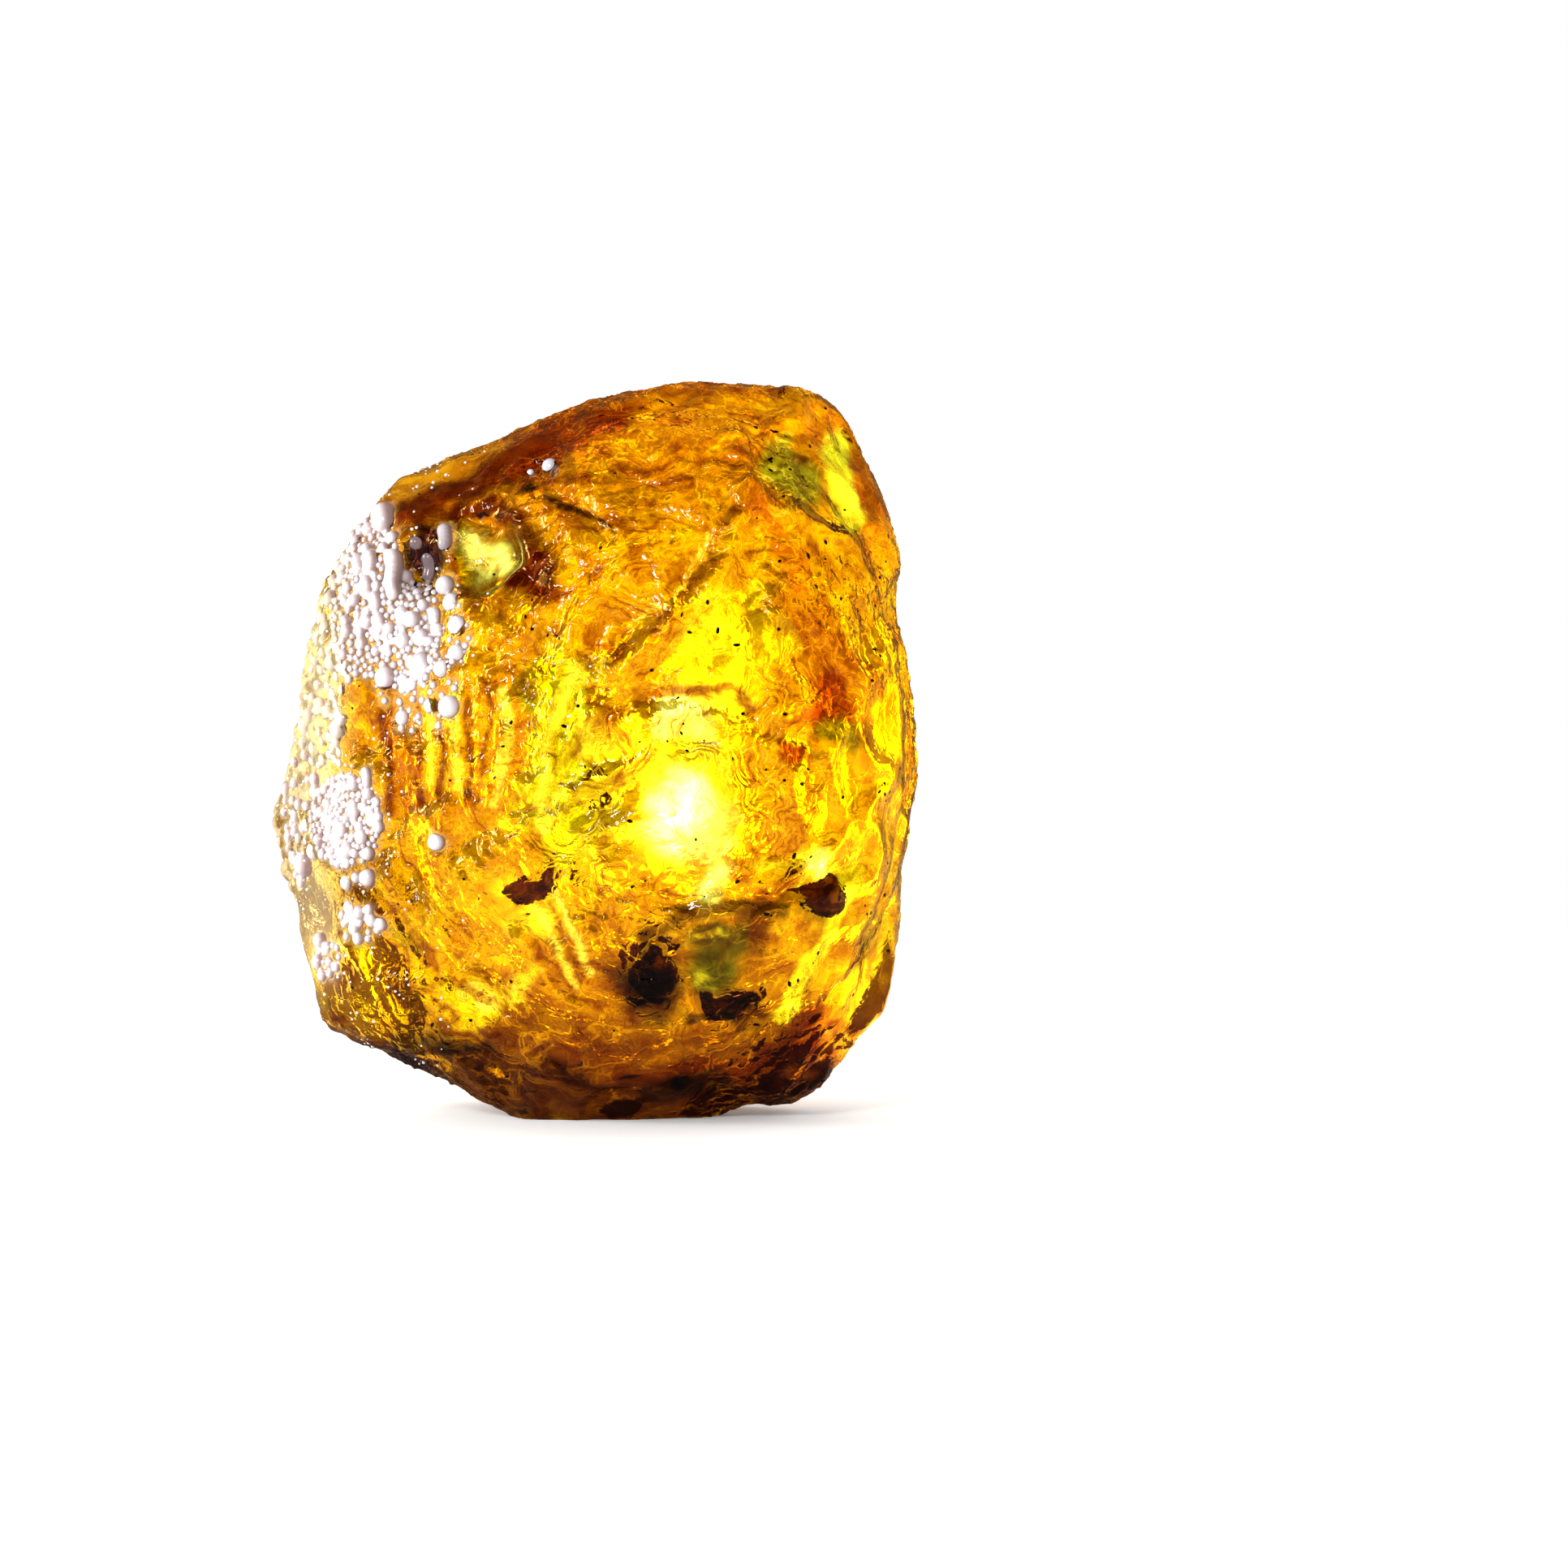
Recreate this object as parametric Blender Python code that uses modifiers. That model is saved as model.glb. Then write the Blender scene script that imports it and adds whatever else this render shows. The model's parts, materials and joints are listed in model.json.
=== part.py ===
"""A raw lump of clear amber, about 43 mm wide and 49 mm tall, with bark sealed in it.

The lump is several resin flows grown into one. It stands on a broken flat face.
Its left flank carries a crust of round knobs. The bark lies where the last flow
ran over the older resin, so the clear solid is parted there, and each half holds
one side of the pockets. The front is towards -Y, and the origin is on the ground
under the middle of the lump. Sizes are in millimetres, and MM turns them into
metres where a mesh is made.
"""

import math
import random

import bmesh
import bpy
import numpy as np
from mathutils import Matrix, Vector, noise
from mathutils.bvhtree import BVHTree

MM = 0.001
ACROSS, DEEP, UP = 0, 1, 2
FAR = 60.0

# The older resin: a pillow with this (x, z) outline, seen from the front. It is rounded
# in front and squarer behind, where it set against the tree.
LUMP_CENTRE = (0.6, 1.0, 24.3)
LUMP_FRONT, LUMP_BACK = 10.6, 14.2
LUMP_SQUARENESS = (2.5, 4.2)
LUMP_OUTLINE = [
    (21.4, 22.6), (21.0, 28.0), (20.1, 33.2), (19.9, 34.9), (20.4, 37.1), (19.4, 40.7),
    (17.9, 44.0), (16.4, 47.1), (14.7, 48.4), (9.0, 48.9), (3.6, 48.7), (-1.9, 47.1),
    (-7.3, 44.7), (-13.3, 42.6), (-14.8, 40.5), (-16.8, 37.9), (-18.2, 35.1), (-19.1, 31.3),
    (-19.5, 27.5), (-20.2, 24.2), (-21.3, 20.7), (-21.4, 18.3), (-20.5, 15.5), (-19.9, 13.1),
    (-19.4, 9.8), (-18.1, 6.0), (-13.8, 4.1), (-9.5, 2.1), (-5.9, 0.2), (-4.6, -1.5),
    (6.6, -1.5), (8.6, 0.2), (10.4, 0.7), (13.9, 1.0), (15.8, 2.6), (17.1, 4.8),
    (19.3, 6.7), (19.9, 9.0), (20.1, 11.7), (20.4, 14.2), (20.3, 16.4), (21.1, 20.7),
]

# The last flow: a lens over the front, with a crease where it meets the older resin.
LENS_CENTRE = (3.4, -3.0, 25.0)
LENS_FRONT, LENS_BACK = 11.6, 3.0
LENS_SQUARENESS = (2.25, 2.25)
LENS_OUTLINE = [
    (20.6, 25.3), (20.2, 19.9), (18.8, 14.5), (16.6, 10.1), (13.6, 6.3), (9.0, 3.6),
    (3.6, 2.9), (-1.9, 4.1), (-6.2, 6.8), (-10.0, 10.4), (-12.7, 15.0), (-13.7, 21.0),
    (-13.8, 26.4), (-12.5, 31.8), (-9.5, 36.7), (-7.3, 40.3), (-4.0, 43.5), (0.3, 45.9),
    (5.2, 47.0), (10.6, 46.3), (13.9, 43.8), (17.1, 39.5), (19.1, 34.0), (20.3, 29.7),
]

# Broken faces: the way each faces, and how far it lies from the lump's centre.
BROKEN_FACES = [
    ((-0.80, -0.60, 0.00), 17.6),
    ((-0.42, -0.50, 0.76), 20.4),
    ((0.74, -0.46, 0.49), 23.0),
    ((0.86, -0.48, -0.20), 19.8),
    ((0.06, -0.64, -0.77), 21.5),
    ((0.02, 0.99, 0.06), 12.9),
    ((-0.66, 0.70, -0.28), 20.4),
    ((0.64, 0.66, 0.39), 23.6),
    ((0.30, 0.62, -0.72), 23.0),
    ((-0.40, 0.66, 0.64), 23.4),
    ((0.82, 0.50, -0.28), 22.0),
]

# Folds in the skin of the front: (x, z) points, height and half width.
FOLDS = [
    ([(9.6, 44.9), (10.3, 41.6), (9.8, 39.5), (8.7, 36.7), (6.8, 34.3), (2.2, 29.9)], 0.75, 0.75),
    ([(10.3, 41.6), (12.3, 40.0), (15.0, 39.2), (17.1, 38.1), (19.0, 35.1)], 0.60, 0.70),
    ([(3.0, 28.0), (6.3, 28.3), (10.1, 27.5), (11.6, 26.0)], -0.50, 0.70),
    ([(-1.9, 28.6), (-2.4, 26.4), (-3.5, 22.0), (-3.8, 19.3), (-3.4, 17.2)], 0.50, 0.55),
    ([(1.4, 28.0), (-1.3, 25.3), (-3.0, 22.0)], 0.40, 0.50),
    ([(-13.3, 16.6), (-9.5, 12.8), (-5.1, 9.6), (-1.9, 8.2)], 0.60, 0.70),
    ([(-4.6, 12.8), (-2.4, 9.0), (0.3, 7.7)], 0.55, 0.60),
    ([(14.4, 8.5), (17.1, 11.7), (19.3, 15.5), (20.4, 19.9)], 0.60, 0.70),
    ([(-9.5, 40.3), (-6.2, 39.5), (-4.6, 36.7), (-3.2, 35.4)], -0.70, 0.70),
    ([(-2.4, 41.6), (-0.8, 40.8), (1.4, 38.4)], -0.60, 0.45),
    ([(3.6, 14.4), (8.2, 15.8), (12.0, 15.2), (16.0, 16.6)], -0.45, 0.60),
    ([(4.0, 12.0), (7.0, 9.4), (7.4, 6.8), (12.0, 6.6)], -0.50, 0.55),
]

# Upright drips beside the knobs.
DRIP_LEFT, DRIP_STEP, DRIP_COUNT = -9.9, 1.05, 6
DRIP_TOP, DRIP_MIDDLE, DRIP_BOTTOM = 31.0, 25.0, 19.0
DRIP_FALL, DRIP_LEAN = 0.6, 0.5
DRIP_HEIGHT, DRIP_HALF_WIDTH = 0.45, 0.32

# Crumpling of the whole skin: the size of a swell, and how deep the creases are.
CRUMPLE_SIZE = 4.2
CRUMPLE_WARP = 2.4
CRUMPLE_FRONT, CRUMPLE_BEHIND = 1.20, 0.45

# Hollows pressed into the skin: centre, radius and depth.
PITS = [
    ((-7.1, -9.5, 37.2), 2.3, 1.9),
    ((-11.8, -7.0, 36.6), 1.7, 1.4),
    ((11.8, -13.0, 43.2), 2.0, 1.2),
    ((9.0, 14.5, 34.0), 4.6, 0.9),
    ((-9.0, 14.0, 20.0), 5.4, 1.1),
    ((6.5, 14.0, 11.0), 3.8, 0.8),
    ((19.5, 7.0, 26.0), 4.2, 1.2),
    ((-4.0, 9.0, 45.5), 3.4, 1.1),
]

# The knobbly crust, in fields that each lie along one way of looking at the flank:
# that way, the middle, half sizes (sideways, up), how many, smallest and largest radius.
FRONTWARDS, FROM_LEFT, FROM_BACK_LEFT = (0.0, 1.0, 0.0), (1.0, 0.0, 0.0), (0.7, -0.7, 0.0)
KNOB_FIELDS = [
    (FRONTWARDS, (-12.9, 0.0, 34.0), (4.6, 6.8), 62, 0.62, 1.05),
    (FRONTWARDS, (-16.4, 0.0, 18.6), (2.8, 5.2), 36, 0.62, 1.05),
    (FRONTWARDS, (-18.4, 0.0, 27.4), (1.7, 6.4), 16, 0.50, 0.80),
    (FRONTWARDS, (-15.2, 0.0, 13.3), (1.5, 1.2), 6, 0.60, 0.85),
    (FROM_LEFT, (0.0, 2.0, 25.0), (5.0, 10.0), 40, 0.62, 1.05),
    (FROM_BACK_LEFT, (-16.0, 9.0, 26.0), (3.0, 7.0), 10, 0.60, 0.95),
]
# Knobs that stand alone on the front: (x, z) and radius.
LONE_KNOBS = [
    ((-8.9, 27.8), 0.85), ((-12.2, 26.8), 0.62), ((-9.8, 18.8), 0.66), ((-19.4, 16.7), 0.95),
    ((-13.3, 40.0), 1.30), ((-2.7, 43.3), 0.75), ((-17.9, 11.2), 1.00), ((-16.8, 9.8), 0.92),
    ((-8.5, 30.9), 0.62), ((-9.5, 29.9), 0.72), ((-13.6, 29.4), 0.95), ((-10.3, 30.2), 0.95),
]
KNOB_SPACING = 0.72
KNOB_SUNK = 0.18
KNOB_TRIES = 60
KNOB_SEED = 11

# The plane between the last flow and the older resin, at x = 0, and its turn about Z.
PARTING_DEPTH = -6.7
PARTING_TURN = 6.4
PARTING_GAP = 0.3
POCKET_ROOM = 0.35

# Pieces of bark in that plane: middle (x, z), half sizes, turns about X, Y, Z, seed,
# and how far each is folded back along its length and curled up at its ends.
BARK = {
    "bark_flake": ((-2.8, 16.4), (2.20, 0.50, 0.85), (14, -36, 8), 3, 0.55, 0.45),
    "bark_splinter": ((0.7, 21.5), (0.45, 0.40, 1.05), (0, 22, 0), 5, 0.0, 0.0),
    "bark_chunk_left": ((3.9, 11.1), (1.75, 1.20, 2.35), (0, 6, 15), 8, 0.0, 0.0),
    "bark_chunk_right": ((13.8, 15.6), (1.65, 1.00, 1.15), (12, 14, -10), 13, 0.0, 0.0),
    "bark_chunk_low": ((9.0, 9.3), (1.80, 0.90, 0.80), (0, -8, 10), 21, 0.0, 0.0),
}
BARK_SQUARENESS = 3.2
BARK_DENTS = 7
BARK_DENT_REACH = (0.62, 0.86)

FLOW_SUBDIVISIONS = 6
FUSE_VOXEL = 0.42
SKIN_VOXEL = 0.30
SKIN_TRIANGLES = 7600
BARK_SHARE_KEPT = 0.30
POCKET_SHARE_KEPT = 0.25

AMBER_COLOUR = (0.86, 0.47, 0.02, 1.0)
AMBER_ROUGHNESS = 0.08
BARK_COLOUR = (0.10, 0.02, 0.006, 1.0)
BARK_ROUGHNESS = 0.45


# ---- small helpers ---------------------------------------------------------------


def empty_the_scene():
    for old in list(bpy.data.objects):
        bpy.data.objects.remove(old)


def make_material(name, colour, roughness, transmission=0.0):
    material = bpy.data.materials.new(name)
    material.use_nodes = True
    shader = material.node_tree.nodes["Principled BSDF"]
    shader.inputs["Base Color"].default_value = colour
    shader.inputs["Roughness"].default_value = roughness
    shader.inputs["Metallic"].default_value = 0.0
    shader.inputs["Transmission Weight"].default_value = transmission
    return material


def new_object(name, mesh, collection):
    made = bpy.data.objects.new(name, mesh)
    collection.objects.link(made)
    return made


def read_points(mesh):
    """The mesh's points as an array, in millimetres."""
    found = np.empty(len(mesh.vertices) * 3)
    mesh.vertices.foreach_get("co", found)
    return found.reshape(-1, 3) / MM


def set_points(mesh, points):
    mesh.vertices.foreach_set("co", (points * MM).ravel())
    mesh.update()


def with_modifiers_applied(obj):
    bpy.context.view_layer.update()
    graph = bpy.context.evaluated_depsgraph_get()
    baked = bpy.data.meshes.new_from_object(obj.evaluated_get(graph))
    obj.modifiers.clear()
    obj.data = baked
    return obj


def unit_ball(name, subdivisions):
    shell = bmesh.new()
    bmesh.ops.create_icosphere(shell, subdivisions=subdivisions, radius=1.0 * MM)
    mesh = bpy.data.meshes.new(name)
    shell.to_mesh(mesh)
    shell.free()
    return mesh


# ---- the resin flows -------------------------------------------------------------


def outline_radius(outline, centre, angles):
    """How far the outline is from the centre, at each angle in the XZ plane."""
    corners = np.array(outline) - (centre[ACROSS], centre[UP])
    corner_angles = np.arctan2(corners[:, 1], corners[:, 0])
    corner_radii = np.hypot(corners[:, 0], corners[:, 1])
    return np.interp(angles, corner_angles, corner_radii, period=math.tau)


def flow_points(directions, outline, centre, front, back, squareness):
    """A pillow with this outline, seen from the front, and these depths and squarenesses."""
    sideways = np.hypot(directions[:, ACROSS], directions[:, UP])
    along = np.abs(directions[:, DEEP])
    power = np.where(directions[:, DEEP] < 0, *squareness)
    reach = (sideways**power + along**power) ** (-1 / power)
    angles = np.arctan2(directions[:, UP], directions[:, ACROSS])
    radius = outline_radius(outline, centre, angles) * sideways * reach
    depth = np.where(directions[:, DEEP] < 0, -front, back) * along * reach
    spread = [radius * np.cos(angles), depth, radius * np.sin(angles)]
    return np.stack(spread, axis=1) + centre


def press_flat(points, faces):
    """Whatever stands past a broken face is pressed back onto it."""
    for direction, distance in faces:
        normal = np.array(direction) / np.linalg.norm(direction)
        past = (points - LUMP_CENTRE) @ normal - distance
        points = points - np.outer(np.clip(past, 0, None), normal)
    return points


def flow_mesh(name, outline, centre, front, back, squareness, faces=()):
    mesh = unit_ball(name, FLOW_SUBDIVISIONS)
    points = flow_points(read_points(mesh), outline, centre, front, back, squareness)
    set_points(mesh, press_flat(points, faces))
    return mesh


# ---- relief in the skin ----------------------------------------------------------


def distance_to_path(points, path):
    """How far each (x, z) point is from a line through the path's points."""
    nearest = np.full(len(points), np.inf)
    for start, end in zip(path[:-1], path[1:]):
        start, way = np.array(start), np.array(end) - np.array(start)
        share = np.clip((points - start) @ way / (way @ way), 0, 1)
        gap = points - start - share[:, None] * way
        nearest = np.minimum(nearest, np.hypot(gap[:, 0], gap[:, 1]))
    return nearest


def drips():
    """Ridges side by side, each a little lower than the one before, and leaning."""
    for i in range(DRIP_COUNT):
        x, fall = DRIP_LEFT + i * DRIP_STEP, i * DRIP_FALL
        lean = DRIP_LEAN * math.sin(2.1 * i)
        path = [(x, DRIP_TOP - fall), (x + lean, DRIP_MIDDLE), (x - lean, DRIP_BOTTOM + fall)]
        yield path, DRIP_HEIGHT, DRIP_HALF_WIDTH


def crumple(points):
    """Depth of the creases: 0 along each crease, growing in the swells between them."""
    depths = []
    for point in points:
        warp = CRUMPLE_WARP * noise.noise(Vector(point) / (1.7 * CRUMPLE_SIZE))
        moved = Vector(point) + Vector((warp, 0, -warp))
        depths.append(abs(noise.noise(moved / CRUMPLE_SIZE)))
    return -np.array(depths)


def relief(points, normals):
    """How far the skin is raised at each point."""
    facing = np.clip(-1.6 * normals[:, DEEP], 0, 1)
    raised = crumple(points) * (CRUMPLE_BEHIND + (CRUMPLE_FRONT - CRUMPLE_BEHIND) * facing)
    for path, height, half_width in [*FOLDS, *drips()]:
        gap = distance_to_path(points[:, [ACROSS, UP]], path)
        raised += facing * height * np.exp(-((gap / half_width) ** 2))
    for centre, radius, depth in PITS:
        gap = np.linalg.norm(points - centre, axis=1)
        raised -= depth * np.exp(-((gap / radius) ** 4))
    return raised


def raise_relief(mesh):
    points = read_points(mesh)
    normals = np.array([vertex.normal for vertex in mesh.vertices])
    set_points(mesh, points + relief(points, normals)[:, None] * normals)


# ---- the knobbly crust -----------------------------------------------------------


class KnobPlacer:
    """Finds where rays meet the skin, and keeps the knobs there apart."""

    def __init__(self, skin):
        corners = [vertex.co for vertex in skin.vertices]
        self.tree = BVHTree.FromPolygons(corners, [face.vertices for face in skin.polygons])
        self.placed = []

    def place(self, start, way, radius, spacing):
        spot, normal, _, _ = self.tree.ray_cast(Vector(start) * MM, Vector(way))
        if spot is None:
            return False
        middle = spot / MM - normal * radius * KNOB_SUNK
        if any((middle - other).length < spacing * (radius + size) for other, size in self.placed):
            return False
        self.placed.append((middle, radius))
        return True


def knob_places(skin):
    """The middle and radius of every knob."""
    placer = KnobPlacer(skin)
    chance = random.Random(KNOB_SEED)
    for (x, z), radius in LONE_KNOBS:
        placer.place((x, -FAR, z), FRONTWARDS, radius, 0.0)
    for way, middle, (half_side, half_up), count, smallest, largest in KNOB_FIELDS:
        sideways = Vector(way).cross(Vector((0, 0, 1))).normalized()
        found = 0
        for _ in range(KNOB_TRIES * count):
            if found == count:
                break
            turn, reach = chance.uniform(0, math.tau), math.sqrt(chance.random())
            radius = smallest + (largest - smallest) * chance.random() ** 1.6
            spot = Vector(middle) + sideways * (half_side * reach * math.cos(turn))
            spot.z += half_up * reach * math.sin(turn)
            found += placer.place(spot - Vector(way) * FAR, way, radius, KNOB_SPACING)
    return placer.placed


def with_knobs(skin):
    """One mesh of the skin and a ball for each knob."""
    shell = bmesh.new()
    shell.from_mesh(skin)
    for middle, radius in knob_places(skin):
        at = Matrix.Translation(middle * MM)
        bmesh.ops.create_icosphere(shell, subdivisions=2, radius=radius * MM, matrix=at)
    joined = bpy.data.meshes.new("knobbly_skin")
    shell.to_mesh(joined)
    shell.free()
    return joined


# ---- the whole outside -----------------------------------------------------------


def fuse(obj, voxel):
    remesh = obj.modifiers.new("fuse", "REMESH")
    remesh.mode = "VOXEL"
    remesh.voxel_size = voxel * MM
    return with_modifiers_applied(obj)


def thin_out(obj, share_kept):
    thin = obj.modifiers.new("thin", "DECIMATE")
    thin.ratio = share_kept


def make_skin(helpers):
    """The lump's outside, before the ground face and the parting are cut."""
    lump = flow_mesh("lump", LUMP_OUTLINE, LUMP_CENTRE, LUMP_FRONT, LUMP_BACK, LUMP_SQUARENESS, BROKEN_FACES)
    lens = flow_mesh("lens", LENS_OUTLINE, LENS_CENTRE, LENS_FRONT, LENS_BACK, LENS_SQUARENESS)
    both = bmesh.new()
    both.from_mesh(lump)
    both.from_mesh(lens)
    both.to_mesh(lump)
    both.free()
    skin = fuse(new_object("skin", lump, helpers), FUSE_VOXEL)
    raise_relief(skin.data)
    skin.data = with_knobs(skin.data)
    fuse(skin, SKIN_VOXEL)
    triangles = sum(len(face.vertices) - 2 for face in skin.data.polygons)
    thin_out(skin, SKIN_TRIANGLES / triangles)
    return with_modifiers_applied(skin)


# ---- bark and its pockets --------------------------------------------------------


def bark_mesh(name, half_sizes, seed, fold, curl, grow):
    """A worn chip: a squared ball with dented sides, folded and curled, made larger by grow."""
    mesh = unit_ball(name, 3)
    chance = random.Random(seed)
    directions = read_points(mesh)
    powers = (np.abs(directions) ** BARK_SQUARENESS).sum(axis=1)
    chip = directions * powers[:, None] ** (-1 / BARK_SQUARENESS)
    for _ in range(BARK_DENTS):
        side = np.array(Vector([chance.uniform(-1, 1) for _ in range(3)]).normalized())
        past = chip @ side - chance.uniform(*BARK_DENT_REACH)
        chip = chip - np.outer(np.clip(past, 0, None), side)
    chip = chip * (np.array(half_sizes) + grow)
    chip[:, DEEP] += fold * np.abs(chip[:, UP]) / half_sizes[UP]
    chip[:, UP] += curl * (chip[:, ACROSS] / half_sizes[ACROSS]) ** 2
    set_points(mesh, chip)
    return mesh


def parting_depth(x):
    return PARTING_DEPTH + x * math.tan(math.radians(PARTING_TURN))


def place_bark(name, label, collection, grow, share_kept):
    (x, z), half_sizes, turns, seed, fold, curl = BARK[name]
    chip = new_object(label, bark_mesh(label, half_sizes, seed, fold, curl, grow), collection)
    chip.location = Vector((x, parting_depth(x), z)) * MM
    chip.rotation_euler = [math.radians(turn) for turn in turns]
    thin_out(chip, share_kept)
    return chip


# ---- cutting ---------------------------------------------------------------------


def box_cutter(name, low, high, helpers):
    shell = bmesh.new()
    bmesh.ops.create_cube(shell, size=1.0)
    low, high = Vector(low) * MM, Vector(high) * MM
    bmesh.ops.scale(shell, vec=high - low, verts=shell.verts)
    bmesh.ops.translate(shell, vec=(high + low) / 2, verts=shell.verts)
    mesh = bpy.data.meshes.new(name)
    shell.to_mesh(mesh)
    shell.free()
    return new_object(name, mesh, helpers)


def parting_cutters(helpers):
    """A block behind the parting and one ahead of it, turned to lie along it."""
    half_gap = PARTING_GAP / 2
    behind = box_cutter("behind_parting", (-FAR, -half_gap, -FAR), (FAR, FAR, FAR), helpers)
    ahead = box_cutter("ahead_of_parting", (-FAR, -FAR, -FAR), (FAR, half_gap, FAR), helpers)
    for block in (behind, ahead):
        block.location.y = PARTING_DEPTH * MM
        block.rotation_euler.z = math.radians(PARTING_TURN)
    return behind, ahead


def cut_away(obj, cutters):
    for cutter in cutters:
        boolean = obj.modifiers.new("cut_" + cutter.name, "BOOLEAN")
        boolean.operation = "DIFFERENCE"
        boolean.object = cutter
    return with_modifiers_applied(obj)


def linked_vertices(start):
    """All the vertices that edges join to this one."""
    reached, waiting = {start}, [start]
    while waiting:
        for edge in waiting.pop().link_edges:
            for vertex in edge.verts:
                if vertex not in reached:
                    reached.add(vertex)
                    waiting.append(vertex)
    return reached


def keep_largest_body(mesh):
    """Knob tips that the parting cuts loose are dropped."""
    shell = bmesh.new()
    shell.from_mesh(mesh)
    left, bodies = set(shell.verts), []
    while left:
        bodies.append(linked_vertices(next(iter(left))))
        left -= bodies[-1]
    largest = max(bodies, key=len)
    loose = [vertex for vertex in shell.verts if vertex not in largest]
    bmesh.ops.delete(shell, geom=loose, context="VERTS")
    shell.to_mesh(mesh)
    shell.free()


def main():
    empty_the_scene()
    parts = bpy.data.collections.new("raw_amber")
    helpers = bpy.data.collections.new("cutters")
    for collection in (parts, helpers):
        bpy.context.scene.collection.children.link(collection)
    amber = make_material("clear_amber", AMBER_COLOUR, AMBER_ROUGHNESS, transmission=1.0)
    bark = make_material("old_bark", BARK_COLOUR, BARK_ROUGHNESS)

    skin = make_skin(helpers)
    ground = box_cutter("ground", (-FAR, -FAR, -FAR), (FAR, FAR, 0.0), helpers)
    behind, ahead = parting_cutters(helpers)
    pockets = [place_bark(name, name + "_pocket", helpers, POCKET_ROOM, POCKET_SHARE_KEPT) for name in BARK]

    for name, other_side in (("amber_front", behind), ("amber_back", ahead)):
        half = new_object(name, skin.data.copy(), parts)
        cut_away(half, [ground, other_side, *pockets])
        keep_largest_body(half.data)
        half.data.materials.clear()
        half.data.materials.append(amber)

    for name in BARK:
        chip = place_bark(name, name, parts, 0.0, BARK_SHARE_KEPT)
        chip.data.materials.append(bark)

    for helper in helpers.objects:
        helper.hide_render = True
        helper.display_type = "WIRE"


main()
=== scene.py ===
# %% [markdown]
# # A lump of raw amber, and how its looks are made
#
# Amber is fossil tree resin. This lump is several runs of resin that set one over
# another: an older body, and a last run that spread over its front like a lens. The
# left flank carries a crust of round knobs, pearly with weathering, and bits of bark
# are sealed inside. Seen against a bright background it glows yellow, orange where the
# light goes a long way through it, and chestnut low down.
#
# Everything is set round the imported model: the clear piece made here stands for its two
# amber halves, and the bark lies where its pockets are.

# %% Load the imported model
import json
import math
import random

import bmesh
import bpy
import numpy as np
from mathutils import Euler, Matrix, Vector, noise
from mathutils.bvhtree import BVHTree
from mathutils.kdtree import KDTree

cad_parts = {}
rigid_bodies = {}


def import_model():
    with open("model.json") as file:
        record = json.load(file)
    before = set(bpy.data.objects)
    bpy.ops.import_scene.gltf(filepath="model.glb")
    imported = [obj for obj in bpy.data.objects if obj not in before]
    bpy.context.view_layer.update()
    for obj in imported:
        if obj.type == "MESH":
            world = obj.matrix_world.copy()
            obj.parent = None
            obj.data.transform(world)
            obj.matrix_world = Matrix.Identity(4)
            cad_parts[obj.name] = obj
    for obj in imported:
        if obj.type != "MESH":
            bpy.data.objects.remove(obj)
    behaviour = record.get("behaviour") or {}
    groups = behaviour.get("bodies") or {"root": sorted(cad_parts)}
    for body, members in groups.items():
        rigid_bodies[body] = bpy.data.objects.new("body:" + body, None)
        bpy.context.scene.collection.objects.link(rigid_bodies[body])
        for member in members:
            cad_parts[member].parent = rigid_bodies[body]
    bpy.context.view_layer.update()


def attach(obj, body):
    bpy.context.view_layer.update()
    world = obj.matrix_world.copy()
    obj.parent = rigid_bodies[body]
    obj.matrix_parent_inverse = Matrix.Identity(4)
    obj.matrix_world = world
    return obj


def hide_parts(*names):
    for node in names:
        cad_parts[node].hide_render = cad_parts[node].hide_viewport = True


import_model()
MM = 0.001
ACROSS, DEEP, UP = 0, 1, 2

# %% [markdown]
# ## The camera
#
# The lump is seen straight from the front, from about 30 cm, with a long lens, so that
# it is hardly foreshortened. It stands left of the middle of a square picture. The
# camera is aimed to the right of it rather than shifted.

# %% Camera
LENS_LENGTH, SENSOR = 100.0, 36.0
VIEW_WIDTH = 105.0
CAMERA_DISTANCE = VIEW_WIDTH * LENS_LENGTH / SENSOR
CAMERA_AIM = Vector((12.6, 0.0, 22.2))
CAMERA_HEIGHT_ANGLE = 2.0

camera_data = bpy.data.cameras.new("camera")
camera_data.lens = LENS_LENGTH
camera_data.sensor_width = SENSOR
camera_data.clip_start = 0.01
camera = bpy.data.objects.new("camera", camera_data)
bpy.context.scene.collection.objects.link(camera)
height_angle = math.radians(CAMERA_HEIGHT_ANGLE)
away = Vector((0, -math.cos(height_angle), math.sin(height_angle)))
camera.location = (CAMERA_AIM + away * CAMERA_DISTANCE) * MM
camera.rotation_euler = (-away).to_track_quat("-Z", "Y").to_euler()
bpy.context.scene.camera = camera
print("camera distance, mm:", round(CAMERA_DISTANCE))

# %% [markdown]
# ## Small helpers
#
# Meshes are worked on as arrays of points in millimetres. A node is added with its
# settings and its inputs in one call, in shader trees and in Geometry Nodes alike.

# %% Helpers


def new_object(name, mesh):
    made = bpy.data.objects.new(name, mesh)
    bpy.context.scene.collection.objects.link(made)
    return made


def read_points(mesh):
    found = np.empty(len(mesh.vertices) * 3, np.float32)
    mesh.vertices.foreach_get("co", found)
    return found.reshape(-1, 3).astype(float) / MM


def read_normals(mesh):
    found = np.empty(len(mesh.vertices) * 3, np.float32)
    mesh.vertices.foreach_get("normal", found)
    return found.reshape(-1, 3).astype(float)


def set_points(mesh, points):
    mesh.vertices.foreach_set("co", (points * MM).ravel())
    mesh.update()


def count_triangles(mesh):
    return sum(len(face.vertices) - 2 for face in mesh.polygons)


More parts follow.
